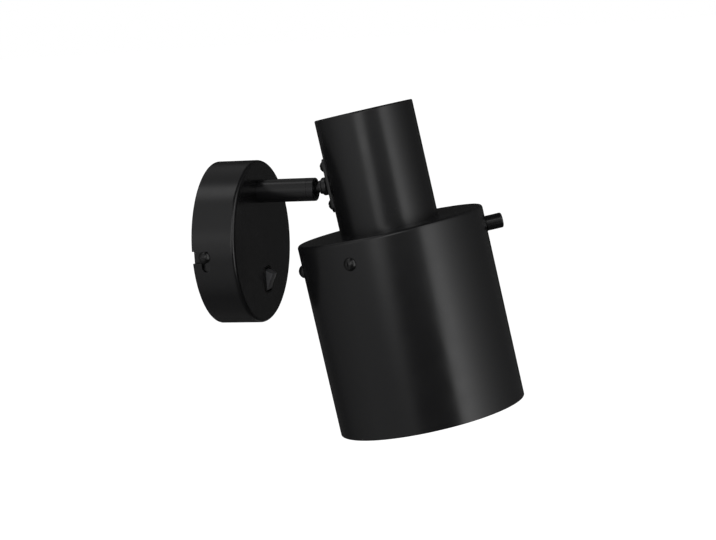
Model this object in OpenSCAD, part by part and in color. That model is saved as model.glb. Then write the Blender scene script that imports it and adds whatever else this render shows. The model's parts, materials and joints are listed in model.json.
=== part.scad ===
// Pivoting spotlight wall light: a round canopy, a short arm with a ball joint, and a shade of two cylinders.
// The wall is the plane y = 0, the lamp stands out along -y, and +z is up.
// The origin is the centre of the canopy's wall face.

/* [Canopy] */
// Outer diameter of the canopy
canopy_d = 100; // [96:1:130]
// Depth of the canopy, out from the wall
canopy_depth = 27; // [25:0.5:36]
// Sheet thickness of the canopy
canopy_wall = 1.5; // [1:0.1:2]
// Radius of the canopy's front edge
canopy_edge_r = 1.4; // [0.4:0.1:2.4]

/* [Wall bracket] */
// Sheet thickness of the bracket
bracket_t = 2; // [1.5:0.1:3]
// Width of the bracket's strip
bracket_w = 20; // [16:0.5:22]
// Distance between the centres of the two wall slots
wall_slot_pitch = 60; // [52:1:66]
// Width of a wall slot
wall_slot_w = 5; // [4:0.1:6]
// End-to-end length of a wall slot
wall_slot_l = 12; // [8:0.5:14]
// Diameter of the cable hole
cable_hole_d = 12; // [8:0.5:13]
// Width of a bent ear
ear_w = 20; // [16:0.5:22]
// Distance of an ear's outer edge from its screw
ear_end = 6; // [4:0.5:8]

/* [Side screws] */
// Distance of the side screws from the wall
side_screw_out = 7.8; // [7:0.1:10]
// How far the side screws lie below the canopy's centre
side_screw_drop = 2.2; // [0:0.1:3]
// Head diameter of a side screw
side_head_d = 7.3; // [6.4:0.1:9]
// Head height of a side screw
side_head_h = 2.4; // [1.5:0.1:4]
// Shank diameter of a side screw
side_shank_d = 4; // [3:0.1:4.4]
// Width of the canopy's slot along its leg
side_slot_w = 4.8; // [4.6:0.1:5.6]
// Width of the slot's mouth at the canopy's rear edge
side_mouth_w = 7.3; // [5.6:0.1:9]
// Length of the slot's leg beyond the screw's centre
side_leg = 9.2; // [6:0.1:14]

/* [Switch] */
// Place of the switch to the right of the canopy's centre
switch_x = 3; // [-4:0.5:6]
// Place of the switch below the canopy's centre
switch_drop = 24.2; // [22:0.1:30]
// Width of the switch's cut-out
switch_w = 13; // [12.6:0.1:16]
// Height of the switch's cut-out
switch_l = 17; // [16.6:0.1:22]
// Corner radius of the switch's cut-out
switch_corner_r = 4; // [1:0.1:4.2]
// Width of the rocker
rocker_w = 7.6; // [6:0.1:8]
// Angle that the rocker leans either way
rocker_lean = 18; // [10:1:19]

/* [Arm] */
// Outer diameter of the arm
arm_d = 14.2; // [13.6:0.1:18]
// Height of the arm above the canopy's centre
arm_height = 31; // [29:0.5:34]
// Distance of the arm's end from the wall
arm_reach = 63.6; // [61:0.2:110]
// Diameter of the arm's threaded end
arm_thread_d = 10; // [8.5:0.5:11]
// Bore of the arm for the flex
arm_bore_d = 5.2; // [4:0.1:6]

/* [Ball joint] */
// Distance of the ball's centre behind the arm's end
pivot_depth = 3.3; // [3:0.1:3.8]
// Length of the socket cap that shows
cap_l = 4.6; // [4.2:0.1:5.6]
// Diameter of the stud
stud_d = 6; // [5:0.1:6.2]
// Bore of the stud for the flex
stud_bore_d = 3.2; // [2.8:0.1:3.6]
// Distance from the ball's centre to the upper shade's wall
stud_reach = 13.5; // [13:0.1:20]
// Outer diameter of the stud's collar
collar_d = 11; // [9:0.1:13]
// Thickness of the stud's collar
collar_t = 4; // [2:0.1:4.4]
// Diameter of the hub behind the collar
hub_d = 8.4; // [7:0.1:9]
// Length of the hub behind the collar
hub_l = 1.6; // [0.8:0.1:1.7]
// Tilt of the shade, its open end away from the wall
shade_tilt = 9.64; // [0:0.01:20]

/* [Saddle plate] */
// Width of the saddle plate
plate_w = 12; // [11:0.5:16]
// Length of the saddle plate
plate_l = 33; // [32:0.5:40]
// Thickness of the saddle plate
plate_t = 1.8; // [1:0.1:2.4]
// Distance between the plate's two screws
plate_screw_pitch = 23.4; // [22:0.1:24.4]
// Head diameter of a plate screw
plate_head_d = 7.3; // [6:0.1:8]
// Head height of a plate screw
plate_head_h = 2.9; // [1.5:0.1:4]
// Shank diameter of a plate screw
plate_shank_d = 3.4; // [2.5:0.1:4]

/* [Upper shade] */
// Outer diameter of the upper shade
upper_d = 60; // [58:1:80]
// Height of the upper shade above the lower one
upper_h = 70.6; // [66:0.2:90]
// Sheet thickness of the upper shade
upper_wall = 1.2; // [0.8:0.1:1.6]
// Radius of the upper shade's top edge
upper_edge_r = 0.8; // [0.3:0.1:2]
// Depth of the stud below the upper shade's top
stud_drop = 39.9; // [36:0.1:42]

/* [Lower shade] */
// Outer diameter of the lower shade
lower_d = 113.8; // [104:0.2:150]
// Height of the lower shade
lower_h = 117.9; // [112:0.1:160]
// Sheet thickness of the lower shade
lower_wall = 1; // [0.8:0.1:1.6]
// Inside radius of the lower shade's top edge
lower_fold_r = 0.8; // [0.3:0.1:3]
// Height of the carrier's skirt
carrier_skirt = 22; // [20:0.5:30]
// Sheet thickness of the carrier
carrier_t = 1.4; // [1:0.1:2]

/* [Shade screws and handle pin] */
// Depth of the shade screws below the lower shade's top
screw_drop = 13.4; // [11:0.1:16]
// Depth of the rear left shade screw below the lower shade's top
rear_screw_drop = 15.6; // [11:0.1:16]
// Head diameter of a shade screw
screw_head_d = 8; // [6:0.1:10]
// Head height of a shade screw
screw_head_h = 2.6; // [1.5:0.1:4]
// Shank diameter of a shade screw
screw_shank_d = 4; // [3:0.1:5]
// Depth of the handle pin below the lower shade's top
pin_drop = 12.6; // [11:0.1:16]
// Diameter of the handle pin
pin_d = 9.2; // [7:0.1:12]
// How far the handle pin stands out of the shade
pin_l = 10.4; // [6:0.1:25]

/* [Lampholder and bulb] */
// Outer diameter of the lampholder
holder_d = 38; // [36:0.5:39]
// Height of the lampholder's cap
holder_cap_h = 24; // [22:0.5:26]
// Length of the lampholder's outer thread
holder_thread_l = 10; // [8:0.5:12]
// Outer diameter of the shade ring
shade_ring_d = 54; // [48:0.5:56]
// Diameter of the bulb's glass
bulb_d = 60; // [45:1:80]
// Length of the bulb from its contact to its tip
bulb_l = 105; // [95:1:112]

/* [Hidden] */
$fn = 96;

// Overrun of every cut past the face that it leaves
over = 0.6;
// Gap round a piece that turns or slides in another
run_gap = 0.05;
// Gap between faces that seat on each other
seat_gap = 0.05;
// Gap round a piece that drops into a cut-out
drop_gap = 0.15;
// Gap between a threaded shank and the sheet that it only passes through
pass_gap = 0.2;
// Length by which a screw stands past what it grips
screw_spare = 1;

// Canopy
canopy_r = canopy_d / 2;
canopy_inner_r = canopy_r - canopy_wall;
face_in = canopy_depth - canopy_wall;

// Wall bracket: its ears stand just inside the canopy and close its side slots from behind
ear_clear = 0.3;
ear_corner_r = 3;
ear_l = side_screw_out + ear_end;
bracket_half_w = max(bracket_w / 2, ear_w / 2 + side_screw_drop);
ear_face = sqrt(pow(canopy_inner_r, 2) - pow(bracket_half_w, 2)) - ear_clear;
screw_slot_w = 0.9;
screw_slot_depth = 0.8;

// Terminal block, standing on the bracket's tab
block_h = 12;
block_w = 14;
poles = 3;
pole_pitch = 8;
block_side = 1;
block_l = poles * pole_pitch + 2 * block_side;
block_groove = 1.2;
block_x = switch_x - pole_pitch / 2;
flex_bend = 5;
flex_lift = 2;
block_top = arm_height - flex_bend - flex_lift;
block_front = bracket_t + block_h;
well_d = 3.8;
well_depth = 4;
well_inset = 3.4;
clamp_screw_d = 3.2;
clamp_screw_l = 5;
small_screw_d = 3;
small_head_d = 5.4;
small_head_h = 1.8;
earth_x = -(cable_hole_d / 2 + wall_slot_pitch / 2 - wall_slot_l / 2) / 2;

// Switch: a collar in the canopy's cut-out, a flange behind the face, and a body with a well for the rocker
collar_proud = 0.4;
flange_t = 1.2;
flange_margin = 1.6;
body_rear = block_front + ear_clear;
well_gap = 0.5;
rocker_well_depth = 7.4;
rocker_l_share = 0.86;
rocker_well_l = switch_l * rocker_l_share;
rocker_pivot_depth = 1.7;
rocker_pin_d = 2;
rocker_pin_reach = 1.2;
rocker_end_h = 5.2;
rocker_mid_h = 4.9;
rocker_belly = 3.4;
rocker_foot = 1;
rocker_corner_share = 0.78;
rocker_foot_share = 0.86;
tab_l = 6;
tab_w = 4.8;
tab_t = 0.8;
lead_d = 2;
tab_mid = body_rear - tab_l / 2;

// Arm and what clamps it to the canopy's face
arm_r = arm_d / 2;
nut_t = 3;
nut_flats = 14;
washer_t = 1;
washer_d = 17;
thread_spare = 1.5;
arm_rear = face_in - washer_t - nut_t - thread_spare;
flex_d = 2.6;
seam = 0.1;

// Ball joint, measured along the arm from the ball's centre
pivot_out = arm_reach - pivot_depth;
arm_end_wall = 0.9;
cap_sleeve_wall = 0.9;
socket_bore_r = arm_r - arm_end_wall;
cap_thread_r = socket_bore_r - run_gap;
socket_r = cap_thread_r - cap_sleeve_wall;
ball_r = socket_r - run_gap;
cap_seam = pivot_depth - cap_l;
cap_edge = 0.6;
lip_angle = 21.8;
flare_margin = 1.2;
cup_floor = 2.3;
cup_front_share = 0.48;
cup_front = -ball_r * cup_front_share;
cup_bore_r = 2.2;
cup_rear = -ball_r - cup_floor;
sleeve_short = 0.6;
cap_sleeve_rear = cup_rear + sleeve_short;
disc_t = 0.6;
disc_rise = 0.5;
disc_gap = 0.05;
disc_stack = 2 * (disc_t + disc_rise) + 3 * disc_gap;
disc_inner_r = 3;
arm_shoulder = cup_rear - disc_stack;
stud_r = stud_d / 2;
stud_tail = 3;

// Saddle joint, measured along the stud from the ball's centre
upper_r = upper_d / 2;
upper_inner_r = upper_r - upper_wall;
shade_offset = stud_reach + upper_r;
plate_face = stud_reach - plate_t;
plate_corner_r = 4;
collar_edge_share = 0.3;
collar_edge = collar_t * collar_edge_share;
hub_edge = 0.4;
leg_t = 1.5;
leg_inner = stud_reach + upper_wall + seat_gap + leg_t;
leg_inner_r = upper_inner_r - seat_gap - leg_t;
stud_nut_t = 3;
stud_nut_flats = 10;
stud_nut_r = stud_nut_flats / (2 * cos(30));
stud_nut_seat = shade_offset - sqrt(pow(leg_inner_r, 2) - pow(stud_nut_r, 2)) + seat_gap;
stud_end = leg_inner + stud_nut_t + 2 * screw_spare;
plate_screw_l = leg_inner - plate_face + screw_spare;
leg_foot = 16;

// Heights along the shade's axis, measured from the stud
rim = stud_drop - upper_h;
carrier_top = rim - lower_wall - drop_gap;
carrier_bottom = carrier_top - carrier_t;
lower_r = lower_d / 2;
lower_inner_r = lower_r - lower_wall;
carrier_r = lower_inner_r - drop_gap;
leg_rise = plate_screw_pitch / 2 + plate_shank_d / 2 + leg_t + screw_spare;

// Lampholder
nipple_d = 10;
nipple_bore_d = 7;
nipple_below = 6;
holder_r = holder_d / 2;
holder_wall = 2;
holder_neck_r = 8;
holder_neck_h = 4;
holder_shoulder_w = 3;
holder_shoulder_r = holder_r + holder_shoulder_w;
holder_shoulder_h = 4;
holder_thread_step = 0.8;
holder_thread_r = holder_r + holder_thread_step;
holder_top = leg_rise - seat_gap;
holder_joint = holder_top - holder_cap_h;
holder_bottom = carrier_bottom - holder_thread_l;
holder_lip = 2;
insert_t = 4;
insert_r = holder_r - holder_wall - drop_gap;
shell_outer_r = 14.2;
shell_wall = 0.6;
contact_r = 3.2;
contact_h = 1.6;
ring_t = 2;
ring_collar_h = 6;
ring_collar_w = 3;

// Bulb
bulb_r = bulb_d / 2;
bulb_top = holder_joint - insert_t - contact_h - 3 * seat_gap;
bulb_cap_r = 13.2;
bulb_cap_l = 26;
bulb_cap_wall = 0.5;
bulb_cone_h = 3;
bulb_tip_r = 4.5;
bulb_ridge = 0.6;
bulb_ridges = 5;
ridge_steps = 8;
glass_wall = 0.8;
glass_sink = 2;
bulb_steps = 24;
glass_neck_r = bulb_cap_r - bulb_ridge - bulb_cap_wall - seat_gap;

// Fasteners round the lower shade: their angles from the front and their depths below the top
shade_screw_angles = [-101, -157, 142];
shade_screw_drops = [screw_drop, rear_screw_drop, screw_drop];
pin_angle = 22;
pin_edge = 1;
pin_shank_d = 5;
screw_grip = 5;

// Flex in the head, measured along the stud and above it
flex_r = flex_d / 2;
head_bend = 4.5;
flex_tuck = 2.55;
flex_rise_s = shade_offset - holder_r + flex_tuck;
flex_top = leg_rise + leg_t + nut_t + 2 * screw_spare + 2 * head_bend;

// Points along an arc round c, from angle a0 to angle a1
function arc(c, r, a0, a1, n = 8) =
    [for (i = [0 : n]) c + r * [cos(a0 + (a1 - a0) * i / n), sin(a0 + (a1 - a0) * i / n)]];

// Places its children with z standing out from the wall, x to the right and y up
module from_wall() {
    rotate([90, 0, 0]) children();
}

// The head's frame: its origin is the ball's centre and -z runs down the shade
module head() {
    translate([0, -pivot_out, arm_height]) rotate([-shade_tilt, 0, 0]) children();
}

// z runs along the stud from the ball's centre, and y up the shade
module along_stud() {
    head() rotate([90, 0, 0]) children();
}

// z is the shade's own axis
module shade_axis() {
    head() translate([0, -shade_offset, 0]) children();
}

// z points out of the shade at an angle from its front and a height on its axis
module around_shade(angle, height) {
    shade_axis() rotate([0, 0, angle - 90]) translate([0, 0, height]) rotate([0, 90, 0]) children();
}

// z is the arm's axis, measured from the ball's centre
module arm_axis() {
    from_wall() translate([0, arm_height, pivot_out]) children();
}

// z points out of the shade from each of its screws
module shade_screw_places() {
    for (i = [0 : len(shade_screw_angles) - 1])
        around_shade(shade_screw_angles[i], rim - shade_screw_drops[i]) children();
}

module stadium(w, l, h) {
    translate([0, (l - w) / 2, 0]) cylinder(d = w, h = h);
    translate([0, -(l - w) / 2, 0]) cylinder(d = w, h = h);
    translate([-w / 2, -(l - w) / 2, 0]) cube([w, l - w, h]);
}

module rounded_plate(w, l, h, r) {
    for (sx = [-1, 1], sy = [-1, 1]) translate([sx * (w / 2 - r), sy * (l / 2 - r), 0]) cylinder(r = r, h = h);
    translate([-w / 2, -l / 2 + r, 0]) cube([w, l - 2 * r, h]);
    translate([-w / 2 + r, -l / 2, 0]) cube([w - 2 * r, l, h]);
}

module ring(outer_r, inner_r, h) {
    difference() {
        cylinder(r = outer_r, h = h);
        translate([0, 0, -over]) cylinder(r = inner_r, h = h + 2 * over);
    }
}

module hex_nut(flats, h, bore_d) {
    difference() {
        cylinder(d = flats / cos(30), h = h, $fn = 6);
        translate([0, 0, -over]) cylinder(d = bore_d, h = h + 2 * over);
    }
}

// A round-headed slotted screw: the head stands up from z = 0 and the shank goes down
module domed_screw(head_d, head_h, shank_d, shank_l) {
    head_r = head_d / 2;
    ball = (pow(head_r, 2) + pow(head_h, 2)) / (2 * head_h);
    start = asin((ball - head_h) / ball);
    difference() {
        rotate_extrude() polygon(concat(
            [[0, -shank_l], [shank_d / 2, -shank_l], [shank_d / 2, 0]],
            arc([0, head_h - ball], ball, start, 90)));
        translate([-head_r - over, -screw_slot_w / 2, head_h - screw_slot_depth])
            cube([head_d + 2 * over, screw_slot_w, screw_slot_depth + over]);
    }
}

// A flat-headed slotted screw
module pan_screw(head_d, head_h, shank_d, shank_l) {
    difference() {
        union() {
            translate([0, 0, -shank_l]) cylinder(d = shank_d, h = shank_l);
            cylinder(d = head_d, h = head_h);
        }
        translate([-head_d / 2 - over, -screw_slot_w / 2, head_h - screw_slot_depth])
            cube([head_d + 2 * over, screw_slot_w, screw_slot_depth + over]);
    }
}

// A quarter of a round bend in the xy plane, from +x to +y
module quarter_bend(bend_r, wire_r) {
    rotate_extrude(angle = 90) translate([bend_r, 0]) circle(r = wire_r);
}

// An ear, bent out from the wall, with its outer corners rounded
module ear() {
    translate([0, -ear_w / 2, 0]) cube([bracket_t, ear_w, ear_l - ear_corner_r]);
    translate([0, -ear_w / 2 + ear_corner_r, 0]) cube([bracket_t, ear_w - 2 * ear_corner_r, ear_l]);
    for (side = [-1, 1]) translate([0, side * (ear_w / 2 - ear_corner_r), ear_l - ear_corner_r])
        rotate([0, 90, 0]) cylinder(r = ear_corner_r, h = bracket_t);
}

// Wall bracket: a strip with two bent ears and a tab for the terminal block
module wall_bracket() {
    color("#1c1c1d") from_wall() difference() {
        union() {
            translate([-ear_face, -bracket_w / 2, 0]) cube([2 * ear_face, bracket_w, bracket_t]);
            translate([block_x - block_l / 2 + block_side, 0, 0])
                cube([block_l - 2 * block_side, block_top, bracket_t]);
            for (ear_x = [-ear_face, ear_face - bracket_t]) translate([ear_x, -side_screw_drop, 0]) ear();
        }
        translate([0, 0, -over]) cylinder(d = cable_hole_d, h = bracket_t + 2 * over);
        for (side = [-1, 1]) translate([side * wall_slot_pitch / 2, 0, -over])
            rotate([0, 0, 90]) stadium(wall_slot_w, wall_slot_l, bracket_t + 2 * over);
        translate([-ear_face - over, -side_screw_drop, side_screw_out])
            rotate([0, 90, 0]) cylinder(d = side_shank_d + 2 * run_gap, h = 2 * (ear_face + over));
        translate([earth_x, 0, -over])
            cylinder(d = small_screw_d + 2 * run_gap, h = bracket_t + 2 * over);
        translate([block_x - pole_pitch / 2, block_top - block_w / 2, -over])
            cylinder(d = small_screw_d + 2 * run_gap, h = bracket_t + 2 * over);
    }
}

module earth_screw() {
    color("#c9a24a") from_wall() translate([earth_x, 0, bracket_t + seat_gap])
        pan_screw(small_head_d, small_head_h, small_screw_d, bracket_t);
}

module pole_places() {
    for (i = [-1 : 1]) translate([block_x + i * pole_pitch, block_top - block_w / 2, block_front]) children();
}

module well_places() {
    pole_places() for (side = [-1, 1]) translate([0, side * well_inset, 0]) children();
}

module terminal_block() {
    color("#e8e6e0") from_wall() difference() {
        translate([block_x - block_l / 2, block_top - block_w, bracket_t + seat_gap])
            cube([block_l, block_w, block_h - seat_gap]);
        for (i = [-1, 1]) {
            groove_x = block_x + i * pole_pitch / 2 - block_groove / 2;
            translate([groove_x, block_top - block_w - over, bracket_t + block_h / 2])
                cube([block_groove, block_w + 2 * over, block_h / 2 + over]);
        }
        well_places() translate([0, 0, -well_depth - clamp_screw_l])
            cylinder(d = well_d, h = well_depth + clamp_screw_l + over);
        translate([block_x - pole_pitch / 2, block_top - block_w / 2, bracket_t]) {
            cylinder(d = small_screw_d + 2 * run_gap, h = block_h);
            translate([0, 0, block_h / 2]) cylinder(d = small_head_d + 2 * pass_gap, h = block_h / 2 + over);
        }
    }
}

module terminal_screws() {
    color("#c9a24a") from_wall() well_places() translate([0, 0, -well_depth - clamp_screw_l + seat_gap])
        difference() {
            cylinder(d = clamp_screw_d, h = clamp_screw_l);
            translate([-clamp_screw_d, -screw_slot_w / 2, clamp_screw_l - screw_slot_depth])
                cube([2 * clamp_screw_d, screw_slot_w, screw_slot_depth + over]);
        }
}

// The screw between the first two poles that holds the block to the tab
module block_screw() {
    head_out = bracket_t + block_h / 2 + seat_gap;
    color("#b9bbbd") from_wall() translate([block_x - pole_pitch / 2, block_top - block_w / 2, head_out])
        pan_screw(small_head_d, small_head_h, small_screw_d, head_out - seat_gap);
}

// One L-shaped slot: its mouth is at the rear edge and its leg runs towards leg_side
module side_slot(leg_side) {
    sag = canopy_r - sqrt(pow(canopy_r, 2) - pow(side_leg + side_screw_drop + side_slot_w, 2));
    depth = canopy_wall + sag + over;
    translate([canopy_r - depth, 0, 0]) {
        translate([0, -side_screw_drop - side_mouth_w / 2, -over])
            cube([depth + over, side_mouth_w, side_screw_out + side_slot_w / 2 + over]);
        leg_y = leg_side < 0 ? -side_screw_drop - side_leg + side_slot_w / 2 : -side_screw_drop;
        translate([0, leg_y, side_screw_out - side_slot_w / 2])
            cube([depth + over, side_leg - side_slot_w / 2, side_slot_w]);
        translate([0, -side_screw_drop + leg_side * (side_leg - side_slot_w / 2), side_screw_out])
            rotate([0, 90, 0]) cylinder(d = side_slot_w, h = depth + over);
    }
}

module canopy() {
    color("#1d1d1e") from_wall() difference() {
        rotate_extrude() polygon(concat(
            [[canopy_inner_r, 0], [canopy_r, 0]],
            arc([canopy_r - canopy_edge_r, canopy_depth - canopy_edge_r], canopy_edge_r, 0, 90),
            [[0, canopy_depth], [0, face_in], [canopy_inner_r, face_in]]));
        translate([0, arm_height, face_in - over])
            cylinder(d = arm_thread_d + 2 * drop_gap, h = canopy_wall + 2 * over);
        translate([switch_x, -switch_drop, face_in - over])
            rounded_plate(switch_w, switch_l, canopy_wall + 2 * over, switch_corner_r);
        side_slot(1);
        mirror([1, 0, 0]) side_slot(-1);
    }
}

module canopy_screws() {
    head_x = canopy_r + seat_gap;
    color("#171718") from_wall() for (side = [-1, 1])
        translate([side * head_x, -side_screw_drop, side_screw_out]) rotate([0, side * 90, 0])
            domed_screw(side_head_d, side_head_h, side_shank_d, head_x - ear_face + bracket_t + screw_spare);
}

module switch_housing() {
    color("#121212") from_wall() translate([switch_x, -switch_drop, 0]) difference() {
        union() {
            translate([0, 0, body_rear])
                rounded_plate(switch_w - 2 * drop_gap, switch_l - 2 * drop_gap,
                    canopy_depth + collar_proud - body_rear, switch_corner_r);
            translate([0, 0, face_in - seat_gap - flange_t])
                rounded_plate(switch_w + 2 * flange_margin, switch_l + 2 * flange_margin,
                    flange_t, switch_corner_r);
        }
        translate([-rocker_w / 2 - well_gap, -rocker_well_l / 2, canopy_depth - rocker_well_depth])
            cube([rocker_w + 2 * well_gap, rocker_well_l, rocker_well_depth + collar_proud + over]);
        pin_bore_l = rocker_w + 2 * rocker_pin_reach + 2 * well_gap;
        translate([-pin_bore_l / 2, 0, canopy_depth - rocker_pivot_depth])
            rotate([0, 90, 0]) cylinder(d = rocker_pin_d + 2 * run_gap, h = pin_bore_l);
    }
}

// The rocker at rest, its upper end out; y is up and z is out, from its own pivot
module switch_rocker() {
    half = rocker_well_l / 2;
    color("#2a2a2b") from_wall() translate([switch_x, -switch_drop, canopy_depth - rocker_pivot_depth])
        rotate([rocker_lean, 0, 0]) {
            translate([-rocker_w / 2, 0, 0]) rotate([90, 0, 90]) linear_extrude(rocker_w) polygon([
                [-half * rocker_foot_share, -rocker_foot], [0, -rocker_belly],
                [half * rocker_foot_share, -rocker_foot], [half * rocker_corner_share, rocker_end_h],
                [0, rocker_mid_h], [-half * rocker_corner_share, rocker_end_h]]);
            translate([-rocker_w / 2 - rocker_pin_reach, 0, 0])
                rotate([0, 90, 0]) cylinder(d = rocker_pin_d, h = rocker_w + 2 * rocker_pin_reach);
        }
}

module tab_places() {
    for (side = [-1, 1]) translate([switch_x + side * pole_pitch / 2, -switch_drop, 0]) children();
}

module switch_contacts() {
    color("#c9a24a") from_wall() tab_places()
        translate([-tab_t / 2, -tab_w / 2, body_rear - tab_l]) cube([tab_t, tab_w, tab_l]);
}

module switch_leads() {
    run = block_top - block_w + switch_drop - tab_w / 2;
    color("#7a4a2a") from_wall() tab_places()
        translate([0, tab_w / 2, tab_mid]) rotate([-90, 0, 0]) cylinder(d = lead_d, h = run);
}

// Arm: the tube, its threaded end behind the canopy's face, and the socket's bore in its front end
module arm_tube() {
    foot = canopy_depth - pivot_out;
    color("#1d1d1e") arm_axis() rotate_extrude() polygon([
        [arm_bore_d / 2, arm_rear - pivot_out], [arm_thread_d / 2, arm_rear - pivot_out],
        [arm_thread_d / 2, foot], [arm_r, foot], [arm_r, cap_seam - seam], [arm_r - seam, cap_seam],
        [socket_bore_r, cap_seam], [socket_bore_r, arm_shoulder], [arm_bore_d / 2, arm_shoulder]]);
}

module arm_washer() {
    color("#b9bbbd") from_wall() translate([0, arm_height, face_in - washer_t - seat_gap])
        ring(washer_d / 2, arm_thread_d / 2 + drop_gap, washer_t);
}

module arm_nut() {
    color("#b9bbbd") from_wall() translate([0, arm_height, face_in - washer_t - nut_t - 2 * seat_gap])
        hex_nut(nut_flats, nut_t, arm_thread_d + 2 * run_gap);
}

// Flex from the terminal block, round one bend and through the arm to the pressure cup
module arm_flex() {
    lift_out = bracket_t + block_h / 2;
    color("#d8d8d6") from_wall() {
        translate([0, block_top, lift_out]) rotate([-90, 0, 0]) cylinder(d = flex_d, h = flex_lift);
        translate([0, block_top + flex_lift, lift_out + flex_bend])
            rotate([0, 90, 0]) quarter_bend(flex_bend, flex_d / 2);
        translate([0, arm_height, lift_out + flex_bend])
            cylinder(d = flex_d, h = pivot_out - ball_r - lift_out - flex_bend - run_gap);
    }
}

// Two spring discs, rim to rim, that press the cup on the ball
module spring_discs() {
    color("#9a9c9e") arm_axis() translate([0, 0, arm_shoulder + disc_gap]) {
        rotate_extrude() polygon([
            [disc_inner_r, 0], [socket_r, disc_rise], [socket_r, disc_rise + disc_t], [disc_inner_r, disc_t]]);
        translate([0, 0, disc_rise + disc_t + disc_gap]) rotate_extrude() polygon([
            [disc_inner_r, disc_rise], [socket_r, 0], [socket_r, disc_t], [disc_inner_r, disc_rise + disc_t]]);
    }
}

// Socket cap: a thread sleeve inside the arm, and a lip over the ball that flares to its end
module socket_cap() {
    color("#1d1d1e") arm_axis() rotate_extrude() polygon(concat(
        [[socket_r, cap_sleeve_rear], [cap_thread_r, cap_sleeve_rear], [cap_thread_r, cap_seam + seat_gap],
            [arm_r - seam, cap_seam + seat_gap], [arm_r, cap_seam + seam + seat_gap]],
        arc([arm_r - cap_edge, pivot_depth - cap_edge], cap_edge, 0, 90),
        [[arm_r - flare_margin, pivot_depth]],
        arc([0, 0], socket_r, lip_angle, 0)));
}

module pressure_cup() {
    color("#c9a24a") arm_axis() difference() {
        translate([0, 0, cup_rear]) cylinder(r = socket_r - drop_gap, h = cup_front - cup_rear);
        sphere(r = ball_r + run_gap);
        translate([0, 0, cup_rear - over]) cylinder(r = cup_bore_r, h = cup_front - cup_rear + 2 * over);
    }
}

module pivot_ball() {
    color("#1d1d1e") along_stud() difference() {
        sphere(r = ball_r);
        translate([0, 0, -ball_r - over]) cylinder(r = stud_r + run_gap, h = 2 * (ball_r + over));
    }
}

module stud_tube() {
    color("#1d1d1e") along_stud() translate([0, 0, -stud_tail])
        ring(stud_r, stud_bore_d / 2, stud_tail + stud_end);
}

module stud_collar() {
    collar_rear = plate_face - seat_gap - collar_t;
    collar_r = collar_d / 2;
    hub_r = hub_d / 2;
    hub_rear = collar_rear - hub_l;
    color("#1d1d1e") along_stud() rotate_extrude() polygon(concat(
        [[stud_r + run_gap, hub_rear], [hub_r - hub_edge, hub_rear], [hub_r, hub_rear + hub_edge],
            [hub_r, collar_rear]],
        arc([collar_r - collar_edge, collar_rear + collar_edge], collar_edge, -90, 0, 4),
        arc([collar_r - collar_edge, collar_rear + collar_t - collar_edge], collar_edge, 0, 90, 4),
        [[stud_r + run_gap, collar_rear + collar_t]]));
}

// The stud's flat nut bears with its corners on the inside of the bracket's curved leg
module stud_nut() {
    color("#b9bbbd") along_stud() translate([0, 0, stud_nut_seat])
        hex_nut(stud_nut_flats, stud_nut_t, stud_d + 2 * run_gap);
}

module plate_screw_places() {
    for (side = [-1, 1]) translate([0, side * plate_screw_pitch / 2, 0]) children();
}

// A band round the upper shade's axis, in the stud's frame
module shade_band(outer_r, inner_r, half_l) {
    translate([0, -half_l, shade_offset]) rotate([-90, 0, 0]) ring(outer_r, inner_r, 2 * half_l);
}

module joint_plate() {
    color("#1d1d1e") along_stud() difference() {
        intersection() {
            shade_band(upper_r + plate_t, upper_r + seat_gap, plate_l);
            rounded_plate(plate_w, plate_l, stud_reach + upper_r / 2, plate_corner_r);
        }
        cylinder(r = stud_r + run_gap, h = shade_offset);
        plate_screw_places() cylinder(d = plate_shank_d + 2 * run_gap, h = shade_offset);
    }
}

module plate_screws() {
    color("#171718") along_stud() plate_screw_places() translate([0, 0, plate_face - seat_gap])
        rotate([180, 0, 0]) domed_screw(plate_head_d, plate_head_h, plate_shank_d, plate_screw_l);
}

// Upper shade: a drawn cup with a closed top, open below on the shade carrier
module upper_shade() {
    color("#1d1d1e") difference() {
        shade_axis() rotate_extrude() polygon(concat(
            [[upper_inner_r, carrier_top + drop_gap], [upper_r, carrier_top + drop_gap]],
            arc([upper_r - upper_edge_r, stud_drop - upper_edge_r], upper_edge_r, 0, 90),
            [[0, stud_drop], [0, stud_drop - upper_wall], [upper_inner_r, stud_drop - upper_wall]]));
        along_stud() {
            cylinder(r = stud_r + pass_gap, h = leg_inner);
            plate_screw_places() cylinder(d = plate_shank_d + 2 * pass_gap, h = leg_inner);
        }
    }
}

// Lampholder bracket: a leg against the shade's wall and an arm across to the shade's axis
module holder_bracket() {
    leg_outer_r = leg_inner_r + leg_t;
    color("#b9bbbd") difference() {
        union() {
            along_stud() intersection() {
                shade_band(leg_outer_r, leg_inner_r, plate_l);
                translate([-plate_w / 2, -leg_foot, 0])
                    cube([plate_w, leg_foot + leg_rise + leg_t, shade_offset]);
            }
            intersection() {
                shade_axis() translate([0, 0, leg_rise]) cylinder(r = leg_outer_r - leg_t / 2, h = leg_t);
                shade_axis() translate([0, 0, leg_rise]) {
                    cylinder(r = plate_w, h = leg_t);
                    translate([-plate_w / 2, 0, 0]) cube([plate_w, upper_r, leg_t]);
                }
            }
        }
        along_stud() {
            cylinder(r = stud_r + pass_gap, h = leg_inner + over);
            plate_screw_places() cylinder(d = plate_shank_d + 2 * run_gap, h = leg_inner + over);
        }
        shade_axis() translate([0, 0, leg_rise - over])
            cylinder(d = nipple_d + 2 * drop_gap, h = leg_t + 2 * over);
        head() translate([0, -flex_rise_s, leg_rise - over])
            cylinder(r = flex_r + pass_gap, h = leg_t + 2 * over);
    }
}

module holder_nipple() {
    nipple_top = leg_rise + leg_t + nut_t + screw_spare;
    color("#c9a24a") shade_axis() translate([0, 0, holder_top - nipple_below])
        ring(nipple_d / 2, nipple_bore_d / 2, nipple_top - holder_top + nipple_below);
}

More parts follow.
